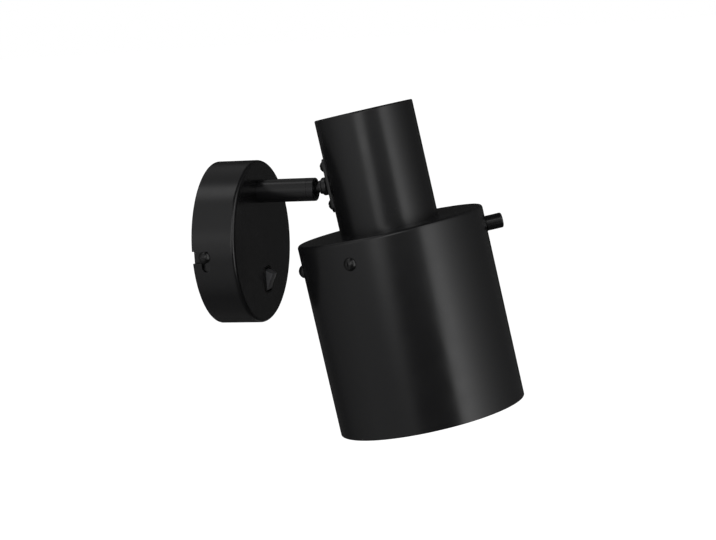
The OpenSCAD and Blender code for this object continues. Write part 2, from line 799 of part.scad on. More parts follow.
module holder_nut() {
    color("#b9bbbd") shade_axis() translate([0, 0, leg_rise + leg_t + seat_gap])
        hex_nut(nut_flats, nut_t, nipple_d + 2 * run_gap);
}

module holder_cap() {
    color("#e8e6e0") shade_axis() rotate_extrude() polygon([
        [nipple_d / 2 + run_gap, holder_top], [holder_neck_r, holder_top],
        [holder_neck_r, holder_top - holder_neck_h], [holder_r, holder_joint + holder_neck_h],
        [holder_r, holder_joint], [holder_r - holder_wall, holder_joint],
        [holder_r - holder_wall, holder_joint + holder_neck_h - holder_wall / 2],
        [nipple_d / 2 + run_gap, holder_top - holder_neck_h - holder_wall]]);
}

module holder_insert() {
    color("#f1efe9") shade_axis() translate([0, 0, holder_joint - insert_t])
        cylinder(r = insert_r, h = insert_t);
}

module holder_shell() {
    shell_top = holder_joint - insert_t - seat_gap;
    color("#c9a24a") shade_axis() translate([0, 0, holder_bottom + holder_lip])
        ring(shell_outer_r, shell_outer_r - shell_wall, shell_top - holder_bottom - holder_lip);
}

module holder_contact() {
    color("#c9a24a") shade_axis() translate([0, 0, holder_joint - insert_t - contact_h - seat_gap])
        cylinder(r = contact_r, h = contact_h);
}

module holder_body() {
    shell_seat_r = shell_outer_r + drop_gap;
    color("#e8e6e0") shade_axis() rotate_extrude() polygon([
        [holder_r - holder_wall, holder_joint - seat_gap], [holder_r, holder_joint - seat_gap],
        [holder_r, carrier_top + holder_shoulder_h], [holder_shoulder_r, carrier_top + holder_shoulder_h],
        [holder_shoulder_r, carrier_top + seat_gap], [holder_thread_r, carrier_top + seat_gap],
        [holder_thread_r, holder_bottom], [shell_seat_r, holder_bottom],
        [shell_seat_r, holder_joint - insert_t - holder_wall],
        [holder_r - holder_wall, holder_joint - insert_t - seat_gap]]);
}

module shade_ring() {
    ring_bore_r = holder_thread_r + run_gap;
    color("#e8e6e0") shade_axis() rotate_extrude() polygon([
        [ring_bore_r, carrier_bottom - seat_gap], [shade_ring_d / 2, carrier_bottom - seat_gap],
        [shade_ring_d / 2, carrier_bottom - seat_gap - ring_t],
        [ring_bore_r + ring_collar_w, carrier_bottom - seat_gap - ring_t],
        [ring_bore_r + ring_collar_w, carrier_bottom - seat_gap - ring_collar_h],
        [ring_bore_r, carrier_bottom - seat_gap - ring_collar_h]]);
}

// Shade carrier: a pan clamped on the lampholder, whose skirt takes the shade's screws
module shade_carrier() {
    color("#e4e2dc") difference() {
        shade_axis() rotate_extrude() polygon([
            [holder_thread_r + drop_gap, carrier_top], [carrier_r - lower_fold_r, carrier_top],
            [carrier_r, carrier_top - lower_fold_r], [carrier_r, carrier_top - carrier_skirt],
            [carrier_r - carrier_t, carrier_top - carrier_skirt], [carrier_r - carrier_t, carrier_bottom],
            [holder_thread_r + drop_gap, carrier_bottom]]);
        shade_screw_places() translate([0, 0, carrier_r - screw_grip])
            cylinder(d = screw_shank_d + 2 * run_gap, h = 2 * screw_grip);
        around_shade(pin_angle, rim - pin_drop) translate([0, 0, carrier_r - screw_grip])
            cylinder(d = pin_shank_d + 2 * run_gap, h = 2 * screw_grip);
    }
}

// Lower shade: a spun cylinder with a flat top round the upper shade and an open bottom
module lower_shade() {
    fold = [lower_inner_r - lower_fold_r, rim - lower_wall - lower_fold_r];
    color("#1d1d1e") difference() {
        shade_axis() rotate_extrude() polygon(concat(
            [[upper_r + drop_gap, rim - lower_wall]],
            arc(fold, lower_fold_r, 90, 0, 6),
            [[lower_inner_r, rim - lower_h], [lower_r, rim - lower_h]],
            arc(fold, lower_fold_r + lower_wall, 0, 90),
            [[upper_r + drop_gap, rim]]));
        shade_screw_places() cylinder(d = screw_shank_d + 2 * pass_gap, h = lower_d);
        around_shade(pin_angle, rim - pin_drop) cylinder(d = pin_shank_d + 2 * pass_gap, h = lower_d);
    }
}

module shade_screws() {
    color("#171718") shade_screw_places() translate([0, 0, lower_r + seat_gap])
        domed_screw(screw_head_d, screw_head_h, screw_shank_d, screw_grip);
}

// Handle pin: a round peg with a softened end, screwed into the carrier
module handle_pin() {
    pin_r = pin_d / 2;
    color("#1d1d1e") around_shade(pin_angle, rim - pin_drop) translate([0, 0, lower_r + seat_gap])
        rotate_extrude() polygon(concat(
            [[0, -screw_grip], [pin_shank_d / 2, -screw_grip], [pin_shank_d / 2, 0], [pin_r, 0]],
            arc([pin_r - pin_edge, pin_l - pin_edge], pin_edge, 0, 90, 6),
            [[0, pin_l]]));
}

// Flex from the stud, up behind the lampholder, over its bracket and down through the nipple
module head_flex() {
    turn_z = flex_top - head_bend;
    tail = stud_tail + screw_spare;
    color("#d8d8d6") head() {
        translate([0, tail, 0]) rotate([90, 0, 0]) cylinder(r = flex_r, h = tail + flex_rise_s - head_bend);
        translate([0, -flex_rise_s + head_bend, head_bend])
            rotate([180, 90, 0]) quarter_bend(head_bend, flex_r);
        translate([0, -flex_rise_s, head_bend]) cylinder(r = flex_r, h = turn_z - head_bend);
        translate([0, -flex_rise_s - head_bend, turn_z])
            rotate([90, 0, 90]) quarter_bend(head_bend, flex_r);
        translate([0, -flex_rise_s - head_bend, flex_top]) rotate([90, 0, 0])
            cylinder(r = flex_r, h = shade_offset - flex_rise_s - 2 * head_bend);
        translate([0, -shade_offset + head_bend, turn_z])
            rotate([180, -90, 0]) quarter_bend(head_bend, flex_r);
        translate([0, -shade_offset, holder_joint + seat_gap])
            cylinder(r = flex_r, h = turn_z - holder_joint - seat_gap);
    }
}

// Bulb cap: a ridged metal cup that tapers to its contact
module bulb_cap() {
    cup_top = bulb_top - bulb_cone_h;
    ridged_l = bulb_cap_l - bulb_cone_h;
    steps = bulb_ridges * ridge_steps;
    color("#c9c9c7") shade_axis() rotate_extrude() polygon(concat(
        [[0, bulb_top], [bulb_tip_r, bulb_top]],
        [for (i = [0 : steps]) [
            bulb_cap_r - bulb_ridge * (1 + cos(360 * i / ridge_steps)) / 2,
            cup_top - ridged_l * i / steps]],
        [[glass_neck_r + seat_gap, bulb_top - bulb_cap_l], [glass_neck_r + seat_gap, cup_top - bulb_cap_wall],
            [0, cup_top + bulb_cone_h / 2]]));
}

// Bulb glass: a ball, the cone that touches it and a straight neck, blown hollow
module bulb_glass() {
    centre_z = bulb_top - bulb_l + bulb_r;
    neck_z = bulb_top - bulb_cap_l - seat_gap - centre_z;
    inner_r = bulb_r - glass_wall;
    inner_neck_r = glass_neck_r - glass_wall;
    color("#f4f1e6") shade_axis() translate([0, 0, centre_z]) rotate_extrude() polygon(concat(
        arc([0, 0], bulb_r, -90, shoulder_angle(bulb_r, glass_neck_r, neck_z), bulb_steps),
        [[glass_neck_r, neck_z], [glass_neck_r, neck_z + glass_sink],
            [inner_neck_r, neck_z + glass_sink], [inner_neck_r, neck_z]],
        arc([0, 0], inner_r, shoulder_angle(inner_r, inner_neck_r, neck_z), -90, bulb_steps)));
}

// Angle above the ball's middle at which a cone from the neck touches the ball
function shoulder_angle(r, neck_r, neck_z) =
    atan2(neck_z, neck_r) - acos(r / sqrt(pow(neck_r, 2) + pow(neck_z, 2)));

wall_bracket();
earth_screw();
terminal_block();
terminal_screws();
block_screw();
canopy();
canopy_screws();
switch_housing();
switch_rocker();
switch_contacts();
switch_leads();
arm_tube();
arm_washer();
arm_nut();
arm_flex();
spring_discs();
socket_cap();
pressure_cup();
pivot_ball();
stud_tube();
stud_collar();
stud_nut();
joint_plate();
plate_screws();
upper_shade();
holder_bracket();
holder_nipple();
holder_nut();
holder_cap();
holder_insert();
holder_shell();
holder_contact();
holder_body();
shade_ring();
shade_carrier();
lower_shade();
shade_screws();
handle_pin();
head_flex();
bulb_cap();
bulb_glass();
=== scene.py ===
"""Looks of a pivoting spotlight wall light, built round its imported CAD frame.

The wall is the plane y = 0, the lamp stands out along -y, +z is up, and every length is in metres.
"""

import json
import logging
import math
from collections.abc import Callable, Iterable, Sequence
from dataclasses import dataclass
from enum import Enum

import bmesh
import bpy
from bpy.types import Material, Mesh, Node, NodeSocket, NodeTree, Object
from mathutils import Matrix, Vector


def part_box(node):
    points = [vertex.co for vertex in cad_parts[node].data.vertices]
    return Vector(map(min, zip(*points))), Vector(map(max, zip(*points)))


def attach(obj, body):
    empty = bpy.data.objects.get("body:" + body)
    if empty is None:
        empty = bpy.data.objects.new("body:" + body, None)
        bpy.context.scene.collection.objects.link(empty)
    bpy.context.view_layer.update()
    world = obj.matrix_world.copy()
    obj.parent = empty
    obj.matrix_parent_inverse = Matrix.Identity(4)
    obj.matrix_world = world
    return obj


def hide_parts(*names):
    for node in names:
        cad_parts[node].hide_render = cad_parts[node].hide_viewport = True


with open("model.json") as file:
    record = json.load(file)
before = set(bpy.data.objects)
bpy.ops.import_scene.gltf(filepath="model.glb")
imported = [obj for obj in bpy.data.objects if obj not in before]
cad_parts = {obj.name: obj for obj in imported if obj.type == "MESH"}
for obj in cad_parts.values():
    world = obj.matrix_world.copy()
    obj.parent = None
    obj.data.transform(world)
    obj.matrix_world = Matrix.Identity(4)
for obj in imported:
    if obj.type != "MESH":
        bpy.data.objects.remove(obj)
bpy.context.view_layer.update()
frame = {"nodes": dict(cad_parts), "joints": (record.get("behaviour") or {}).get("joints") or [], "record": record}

MM = 0.001
# Pieces that seat on each other stand this far apart
CLEARANCE = 0.05 * MM
# Points of a turned outline closer than this are one point
WELD = 0.001 * MM
# Points of a finished mesh closer than this are one point
DOUBLE = 0.0005 * MM
# Past this angle in degrees an edge stays sharp
SHARP = 32.0
# Sockets of a Mix node that mixes colours
MIX_FACTOR, MIX_A, MIX_B, MIX_RESULT = 0, 6, 7, 2
WHITE = (1.0, 1.0, 1.0, 1.0)
Points = list[tuple[float, float]]
log = logging.getLogger("wall_light")


class Body(Enum):
    """Bodies of the frame that a piece rides on."""

    WALL_MOUNT = "wall_mount"
    ROCKER = "rocker"
    PIVOT_BALL = "pivot_ball"
    HEAD = "head"


class Side(Enum):
    """Left and right as seen from the room."""

    LEFT = -1
    RIGHT = 1


def linear(hex_colour: str) -> tuple[float, float, float, float]:
    """Turns an sRGB hex value into a linear colour.

    Args:
        hex_colour: The colour as "#rrggbb".

    Returns:
        Red, green, blue and an alpha of one.
    """
    channels = [int(hex_colour[i:i + 2], 16) / 255 for i in (1, 3, 5)]
    red, green, blue = [c / 12.92 if c <= 0.04045 else ((c + 0.055) / 1.055) ** 2.4 for c in channels]
    return red, green, blue, 1.0


def add(tree: NodeTree, kind: str, sockets: dict | None = None, **settings: object) -> Node:
    """Adds a node with its settings, its values and its links.

    Args:
        tree: The tree that takes the node.
        kind: The node's type.
        sockets: For each input, by name or number, a value or the output that feeds it.
        **settings: The node's own properties.

    Returns:
        The new node.
    """
    node = tree.nodes.new(kind)
    for name, value in settings.items():
        setattr(node, name, value)
    for key, value in (sockets or {}).items():
        if isinstance(value, NodeSocket):
            tree.links.new(value, node.inputs[key])
        else:
            node.inputs[key].default_value = value
    return node


def maths(tree: NodeTree, operation: str, *values: float | NodeSocket, clamp: bool = False) -> NodeSocket:
    """Adds a sum, a product or the like.

    Args:
        tree: The tree that takes it.
        operation: The Math node's operation.
        *values: Its values, or the outputs that feed them.
        clamp: Whether the result is held between zero and one.

    Returns:
        The result.
    """
    node = add(tree, "ShaderNodeMath", dict(enumerate(values)), operation=operation, use_clamp=clamp)
    return node.outputs[0]


def remap(tree: NodeTree, value: NodeSocket, before: tuple[float, float] = (0.0, 1.0),
          after: tuple[float, float] = (0.0, 1.0), curve: str = "LINEAR") -> NodeSocket:
    """Maps a value from one range to another, and holds it there.

    Args:
        tree: The tree that takes the node.
        value: The value.
        before: The ends of the range that it comes from.
        after: The ends of the range that it goes to.
        curve: The node's way from one end to the other.

    Returns:
        The mapped value.
    """
    return add(tree, "ShaderNodeMapRange", {
        "Value": value, "From Min": before[0], "From Max": before[1], "To Min": after[0], "To Max": after[1]},
        interpolation_type=curve).outputs[0]


def blank_material(name: str) -> Material:
    """Makes a material with an empty tree.

    Args:
        name: The material's name.

    Returns:
        The material.
    """
    material = bpy.data.materials.new(name)
    material.use_nodes = True
    material.node_tree.nodes.clear()
    return material


def mesh_object(name: str, mesh: Mesh) -> Object:
    """Puts a mesh in the scene under a name.

    Args:
        name: The object's name.
        mesh: Its mesh.

    Returns:
        The object, at the origin.
    """
    mesh.name = name
    piece = bpy.data.objects.new(name, mesh)
    bpy.context.scene.collection.objects.link(piece)
    return piece


def drop(*pieces: Object) -> None:
    """Deletes helper objects that are done with."""
    for piece in pieces:
        bpy.data.objects.remove(piece, do_unlink=True)


def plain_mesh(piece: Object) -> Mesh:
    """Gives the mesh that an object's modifiers make, and takes the modifiers off.

    Args:
        piece: The object.

    Returns:
        Its evaluated mesh as a new plain mesh, which the object also takes.
    """
    bpy.context.view_layer.update()
    evaluated = piece.evaluated_get(bpy.context.evaluated_depsgraph_get())
    mesh = bpy.data.meshes.new_from_object(evaluated)
    piece.modifiers.clear()
    piece.data = mesh
    return mesh


def paint(mesh: Mesh, finish: Material) -> None:
    """Gives all of a mesh one finish.

    Args:
        mesh: The mesh.
        finish: The finish.
    """
    mesh.materials.clear()
    mesh.materials.append(finish)
    mesh.polygons.foreach_set("material_index", [0] * len(mesh.polygons))


def shade(mesh: Mesh) -> None:
    """Shades a mesh smooth between its sharp edges."""
    mesh.shade_smooth()
    mesh.set_sharp_from_angle(angle=math.radians(SHARP))


def new_mesh(name: str, work: bmesh.types.BMesh) -> Mesh:
    """Makes a mesh of a work mesh, and frees that.

    Args:
        name: The mesh's name.
        work: The work mesh.

    Returns:
        The mesh.
    """
    mesh = bpy.data.meshes.new(name)
    work.to_mesh(mesh)
    work.free()
    return mesh


def finish_mesh(mesh: Mesh, place: Matrix) -> None:
    """Puts a mesh in its place, turns its faces out and shades it smooth between sharp edges.

    Args:
        mesh: The mesh to finish.
        place: Where it stands in the frame.
    """
    work = bmesh.new()
    work.from_mesh(mesh)
    bmesh.ops.remove_doubles(work, verts=work.verts, dist=DOUBLE)
    loose = [v for v in work.verts if not v.link_faces]
    bmesh.ops.delete(work, geom=loose, context="VERTS")
    bmesh.ops.transform(work, matrix=place, verts=work.verts)
    bmesh.ops.recalc_face_normals(work, faces=work.faces)
    work.to_mesh(mesh)
    work.free()
    shade(mesh)


# Finishes


@dataclass(frozen=True)
class Finish:
    """A finish: what it sets on the one kind of shader tree that all of them use.

    Its colour drifts to its second one, or a little darker where it has none, and its roughness drifts too.
    A fine grain lifts the surface; edges turn lighter, for rubbing and as a painted highlight on the rims.
    """

    name: str
    colour: str
    roughness: float
    second: str = ""
    # Colour that the edges turn to, for rubbing and as a painted highlight on the rims; the plain colour if none
    # is given
    worn: str = ""
    grain: float = 0.25 * MM
    grain_height: float = 0.004 * MM
    drift: float = 8 * MM
    colour_drift: float = 0.15
    roughness_drift: float = 0.12
    roughness_grain: float = 0.015
    metallic: float = 0.0
    ior: float = 1.5
    # Reach of the edge band, and how far at most the edges turn to their lighter colour
    wear: float = 0.5 * MM
    most_worn: float = 0.6
    polish: float = 0.25

    def build(self) -> Material:
        """Builds the material on Object coordinates.

        Returns:
            The material.
        """
        material = blank_material(self.name)
        tree = material.node_tree
        place = add(tree, "ShaderNodeTexCoord").outputs["Object"]
        drift = add(tree, "ShaderNodeTexNoise", {
            "Vector": place, "Scale": 1 / self.drift, "Detail": 3.0, "Roughness": 0.55}).outputs[0]
        grain = add(tree, "ShaderNodeTexNoise", {
            "Vector": place, "Scale": 1 / self.grain, "Detail": 2.0, "Roughness": 0.6}).outputs[0]
        # Edges that turn lighter, for rubbing and as a painted highlight, and get smoother
        edge = self.worn_edges(tree, drift)
        bump = add(tree, "ShaderNodeBump", {"Height": grain, "Distance": self.grain_height, "Strength": 1.0})
        shader = add(tree, "ShaderNodeBsdfPrincipled", {
            "Metallic": self.metallic, "Base Color": self.tint(tree, drift, edge),
            "Roughness": self.gloss(tree, drift, grain, edge), "Normal": bump.outputs[0]})
        if self.metallic == 0.0:
            shader.inputs["IOR"].default_value = self.ior
        add(tree, "ShaderNodeOutputMaterial", {"Surface": shader.outputs[0]})
        return material

    def worn_edges(self, tree: NodeTree, drift: NodeSocket) -> NodeSocket:
        """Finds the edges, in patches, that turn lighter for rubbing and as a painted highlight.

        Args:
            tree: The material's tree.
            drift: The slow pattern that breaks the lighter edges into patches.

        Returns:
            How far the edges turn to their lighter colour, from zero on a flat face to most_worn on an edge.
        """
        softened = add(tree, "ShaderNodeBevel", {"Radius": self.wear}, samples=4).outputs[0]
        normal = add(tree, "ShaderNodeNewGeometry").outputs["Normal"]
        turn = add(tree, "ShaderNodeVectorMath", {0: softened, 1: normal}, operation="DOT_PRODUCT")
        # Where the softened normal turns away from the face's own: the edges that get the painted highlight and
        # the rubbing
        edge = remap(tree, turn.outputs["Value"], (0.98, 0.8), (0.0, self.most_worn))
        patches = remap(tree, drift, (0.35, 0.6))
        return maths(tree, "MULTIPLY", edge, patches)

    def tint(self, tree: NodeTree, drift: NodeSocket, edge: NodeSocket) -> NodeSocket:
        """Mixes the colour, its drift and the lighter edges, which stand for rubbing and are partly a painted
        highlight.

        Args:
            tree: The material's tree.
            drift: The slow pattern.
            edge: How far the edges turn to their lighter colour.

        Returns:
            The colour.
        """
        first = linear(self.colour)
        darker = tuple(c * (1 - self.colour_drift) for c in first[:3]) + (1.0,)
        second = linear(self.second) if self.second else darker
        drifted = add(tree, "ShaderNodeMix", {
            MIX_FACTOR: drift, MIX_A: first, MIX_B: second}, data_type="RGBA").outputs[MIX_RESULT]
        # Edges turn to the lighter edge colour: rubbing, and a painted highlight on the rims
        rubbed_and_sheened = add(tree, "ShaderNodeMix", {
            MIX_FACTOR: edge, MIX_A: drifted, MIX_B: linear(self.worn or self.colour)}, data_type="RGBA")
        return rubbed_and_sheened.outputs[MIX_RESULT]

    def gloss(self, tree: NodeTree, drift: NodeSocket, grain: NodeSocket, edge: NodeSocket) -> NodeSocket:
        """Lets the roughness drift, roughens it with the grain and polishes the lightened edges.

        Args:
            tree: The material's tree.
            drift: The slow pattern.
            grain: The fine pattern.
            edge: How far the edges turn to their lighter colour.

        Returns:
            The roughness.
        """
        spread = self.roughness_drift * self.roughness
        soft = remap(tree, drift, (0.3, 0.7), (self.roughness - spread, self.roughness + spread))
        fine = remap(tree, grain, after=(-self.roughness_grain, self.roughness_grain))
        rough = maths(tree, "ADD", soft, fine, clamp=True)
        polish = maths(tree, "MULTIPLY", edge, self.polish * self.roughness)
        return maths(tree, "SUBTRACT", rough, polish, clamp=True)


@dataclass(frozen=True)
class Moulded(Finish):
    """Moulded plastic, rubber, glass or ceramic: the fine texture of its mould and slight flow marks."""


@dataclass(frozen=True)
class SatinPaint(Finish):
    """Stoved satin paint on sheet metal: a fine orange peel, and a gloss that drifts where it was handled."""

    # Lighter grey of the edges: paint thinned by rubbing, and a painted highlight on the rims
    worn: str = "#3a3a3c"
    grain: float = 0.9 * MM
    grain_height: float = 0.0008 * MM
    drift: float = 14 * MM
    colour_drift: float = 0.12


@dataclass(frozen=True)
class Metal(Finish):
    """Bare or plated metal: faint drawing marks, and a tarnish, its second colour, that drifts over it."""

    # Brighter colour of the edges: polish from rubbing, and a painted highlight
    worn: str = "#e3e1da"
    grain: float = 0.3 * MM
    grain_height: float = 0.002 * MM
    drift: float = 6 * MM
    metallic: float = 1.0


class Slot(Enum):
    """The record's material slots, each with its finish."""

    # Satin black stoving paint: nearly black, with broad soft highlights and dark sides
    BLACK_PAINT = SatinPaint("satin_black_stoving_paint", "#151516", 0.24)
    # Blackened steel screws: a little finer than the paint, so their domes catch small glints
    BLACK_STEEL = SatinPaint("blackened_steel_screws", "#101010", 0.26, grain=0.2 * MM)
    # White stoving paint inside the shade, which throws the bulb's light out
    WHITE_PAINT = SatinPaint("white_stoving_paint", "#e6e3dc", 0.42, colour_drift=0.04)
    # Black glass-filled nylon of the switch's body: dull, with the mould's spark texture
    BLACK_NYLON = Moulded("spark_textured_black_nylon", "#0e0e0e", 0.55)
    # Smooth nylon of the rocker, polished by fingers; its lighter edges are also a painted highlight
    DARK_NYLON = Moulded("smooth_dark_nylon", "#505052", 0.34, worn="#626264", grain=0.4 * MM)
    # Bright zinc plate: cool grey with a faint yellow passivation
    ZINC_STEEL = Metal("zinc_plated_steel", "#c3c6c8", 0.32, second="#b7b29c")
    # Spring steel, oiled and a little brown
    SPRING_STEEL = Metal("oiled_spring_steel", "#a3a5a8", 0.28, second="#857c70")
    # Drawn brass with the first brown of its tarnish
    BRASS = Metal("drawn_brass", "#d8b467", 0.3, second="#b08c4a")
    # Undyed nylon of the terminal block: milky and dull
    PALE_NYLON = Moulded("undyed_nylon", "#e2e0d6", 0.5)
    # White thermoset of the lampholder: smooth, slightly warm
    HOLDER_RESIN = Moulded("white_thermoset_resin", "#dedbd0", 0.36)
    # Steatite insert: dry, fine-grained ceramic
    STEATITE = Moulded("unglazed_steatite", "#e9e5db", 0.6, grain=0.5 * MM)
    # Brown insulation of the switch leads
    BROWN_SLEEVE = Moulded("brown_wire_insulation", "#6b3a22", 0.4)
    # Silicone sleeve round the flex: pale and waxy
    SILICONE_SLEEVE = Moulded("silicone_sleeve", "#d2d2cf", 0.5, ior=1.41)
    # Aluminium bulb cap, rolled and slightly dull
    CAP_METAL = Metal("rolled_aluminium_cap", "#d4d3d0", 0.3, second="#bdbab4")
    # Opal glass: smooth outside, milky coating inside
    OPAL_GLASS = Moulded("opal_glass", "#efece2", 0.16, grain=6 * MM, grain_height=0.01 * MM, ior=1.52)

    @property
    def title(self) -> str:
        """The slot's name in the record."""
        return self.name.lower()


# Outlines


@dataclass(frozen=True)
class Corner:
    """A corner of a turned outline: its radius from the axis, its height and its rounding."""

    r: float
    z: float
    rounding: float = 0.0


def rounded(corners: Sequence[Corner], closed: bool, steps: int = 6) -> Points:
    """Rounds the corners of an outline with arcs, and sets a support point close to each arc's ends.

    Args:
        corners: The outline's corners in order.
        closed: Whether the last corner runs back to the first.
        steps: Faces in an arc.

    Returns:
        The outline's points, with the first one again at the end if it is closed.
    """
    support, support_share = 0.06 * MM, 0.3
    points: Points = []
    count = len(corners)
    for i, corner in enumerate(corners):
        here = Vector((corner.r, corner.z))
        if corner.rounding == 0.0 or (not closed and i in (0, count - 1)):
            points.append(tuple(here))
            continue
        back = Vector((corners[i - 1].r, corners[i - 1].z)) - here
        ahead = Vector((corners[(i + 1) % count].r, corners[(i + 1) % count].z)) - here
        half = back.angle(ahead) / 2
        reach = corner.rounding / math.tan(half)
        spare = min(support_share * corner.rounding, support)
        back.normalize()
        ahead.normalize()
        centre = here + (back + ahead).normalized() * (corner.rounding / math.sin(half))
        start, end = here + back * reach, here + ahead * reach
        turn = (end - centre).angle_signed(start - centre)
        points.append(tuple(start + back * spare))
        for step in range(steps + 1):
            arm = Matrix.Rotation(turn * step / steps, 2) @ (start - centre)
            points.append(tuple(centre + arm))
        points.append(tuple(end + ahead * spare))
    if closed:
        points.append(points[0])
    return points


def arc_points(r: float, start: float, end: float, steps: int, height: float = 0.0) -> Points:
    """Points of an arc about a centre on the axis.

    Args:
        r: The arc's radius.
        start: Its first angle above the level, in degrees.
        end: Its last angle.
        steps: Faces in the arc.
        height: The height of its centre.

    Returns:
        The points as radius and height.
    """
    angles = [math.radians(start + (end - start) * i / steps) for i in range(steps + 1)]
    return [(max(0.0, r * math.cos(a)), height + r * math.sin(a)) for a in angles]


def rectangle(w: float, h: float) -> Points:
    """Corners of a rectangle about the origin, anticlockwise."""
    return [(x * w / 2, y * h / 2) for x, y in ((-1, -1), (1, -1), (1, 1), (-1, 1))]


def rounded_rectangle(w: float, h: float, r: float, steps: int = 8) -> Points:
    """Points of a rectangle with round corners about the origin.

    Args:
        w: Its width.
        h: Its height.
        r: The radius of its corners.
        steps: Faces in a corner.

    Returns:
        The points, anticlockwise.
    """
    points = []
    for quarter, (x, y) in enumerate(((1, 1), (-1, 1), (-1, -1), (1, -1))):
        for step in range(steps + 1):
            a = math.radians(90 * (quarter + step / steps))
            points.append((x * (w / 2 - r) + r * math.cos(a), y * (h / 2 - r) + r * math.sin(a)))
    return points


def prism(outline: Points, start: float, end: float, place: Matrix | None = None) -> Mesh:
    """Makes a closed straight solid of an outline.

    Args:
        outline: Its points in the xy plane, in order.
        start: The solid's lower end on z.
        end: Its upper end.
        place: Where it stands.

    Returns:
        The solid's mesh.
    """
    work = bmesh.new()
    base = [work.verts.new((x, y, start)) for x, y in outline]
    top = [work.verts.new((x, y, end)) for x, y in outline]
    work.faces.new(list(reversed(base)))
    work.faces.new(top)
    for i in range(len(outline)):
        j = (i + 1) % len(outline)
        work.faces.new((base[i], base[j], top[j], top[i]))
    bmesh.ops.recalc_face_normals(work, faces=work.faces)
    if place is not None:
        bmesh.ops.transform(work, matrix=place, verts=work.verts)
    return new_mesh("prism", work)


# Geometry Nodes


def new_tree(name: str, inputs: dict[str, str]) -> NodeTree:
    """Makes a Geometry Nodes tree with named inputs and one shape to put out.

    Args:
        name: The tree's name.
        inputs: The kind of socket of each named input.

    Returns:
        The tree, still without nodes.
    """
    tree = bpy.data.node_groups.new(name, "GeometryNodeTree")
    for title, kind in inputs.items():
        tree.interface.new_socket(title, in_out="INPUT", socket_type=f"NodeSocket{kind}")
    tree.interface.new_socket("Shape", in_out="OUTPUT", socket_type="NodeSocketGeometry")
    return tree


def end_tree(tree: NodeTree, shape: NodeSocket, material: NodeSocket) -> None:
    """Ends a tree: its shape is made real, gets its material and is put out.

    Args:
        tree: The tree.
        shape: The shape.
        material: The material.
    """
    real = add(tree, "GeometryNodeRealizeInstances", {"Geometry": shape})
    dressed = add(tree, "GeometryNodeSetMaterial", {"Geometry": real.outputs[0], "Material": material})
    add(tree, "NodeGroupOutput", {"Shape": dressed.outputs[0]})


def turned_tree() -> NodeTree:
    """Builds the tree that turns an outline, given as points in the xz plane, once round z.

    Returns:
        The tree, with inputs for the outline, its number of points, the faces round and the material.
    """
    tree = new_tree("turned_outline", {
        "Outline": "Geometry", "Outline Points": "Int", "Faces Round": "Int", "Material": "Material"})
    given = add(tree, "NodeGroupInput").outputs
    columns = add(tree, "FunctionNodeIntegerMath", {
        0: given["Faces Round"], 1: 1}, operation="ADD").outputs[0]
    grid = add(tree, "GeometryNodeMeshGrid", {"Vertices X": given["Outline Points"], "Vertices Y": columns})
    index = add(tree, "GeometryNodeInputIndex").outputs[0]
    row = add(tree, "FunctionNodeIntegerMath", {0: index, 1: columns}, operation="DIVIDE_FLOOR").outputs[0]
    column = add(tree, "FunctionNodeIntegerMath", {0: index, 1: columns}, operation="MODULO").outputs[0]
    place = add(tree, "GeometryNodeInputPosition").outputs[0]
    sample = add(tree, "GeometryNodeSampleIndex", {
        "Geometry": given["Outline"], "Value": place, "Index": row}, data_type="FLOAT_VECTOR")
    share = maths(tree, "DIVIDE", column, given["Faces Round"])
    angle = maths(tree, "MULTIPLY", share, math.tau)
    spun = add(tree, "ShaderNodeVectorRotate", {
        "Vector": sample.outputs[0], "Angle": angle}, rotation_type="Z_AXIS")
    shaped = add(tree, "GeometryNodeSetPosition", {
        "Geometry": grid.outputs["Mesh"], "Position": spun.outputs[0]})
    merged = add(tree, "GeometryNodeMergeByDistance", {"Geometry": shaped.outputs[0], "Distance": WELD})
    end_tree(tree, merged.outputs[0], given["Material"])
    return tree


def copies_tree() -> NodeTree:
    """Builds the tree that stands a copy of one piece on each point, its z along the point's facing.

    Returns:
        The tree, with inputs for the points, the piece and the material.
    """
    tree = new_tree("copies_on_points", {"Points": "Geometry", "Piece": "Object", "Material": "Material"})
    given = add(tree, "NodeGroupInput").outputs
    piece = add(tree, "GeometryNodeObjectInfo", {"Object": given["Piece"]}, transform_space="ORIGINAL")
    facing = add(tree, "GeometryNodeInputNamedAttribute", {"Name": "facing"}, data_type="FLOAT_VECTOR")
    along = add(tree, "FunctionNodeAlignRotationToVector", {"Vector": facing.outputs[0]}, axis="Z")
    turn = add(tree, "GeometryNodeInputNamedAttribute", {"Name": "turn"}, data_type="FLOAT")
    about = add(tree, "FunctionNodeAxisAngleToRotation", {"Axis": (0, 0, 1), "Angle": turn.outputs[0]})
    both = add(tree, "FunctionNodeRotateRotation", {
        0: along.outputs[0], 1: about.outputs[0]}, rotation_space="LOCAL")
    copies = add(tree, "GeometryNodeInstanceOnPoints", {
        "Points": given["Points"], "Instance": piece.outputs["Geometry"], "Rotation": both.outputs[0]})
    end_tree(tree, copies.outputs[0], given["Material"])
    return tree


def run_tree(piece: Object, tree: NodeTree, values: dict[str, object]) -> Mesh:
    """Runs a tree on an object and gives the plain mesh that it makes.

    Args:
        piece: The object that carries the tree's input geometry.
        tree: The tree.
        values: The value of each named input.

    Returns:
        The plain mesh.
    """
    modifier = piece.modifiers.new("shape", "NODES")
    modifier.node_group = tree
    for item in tree.interface.items_tree:
        if item.in_out == "INPUT" and item.name in values:
            modifier[item.identifier] = values[item.name]
    piece.update_tag()
    return plain_mesh(piece)


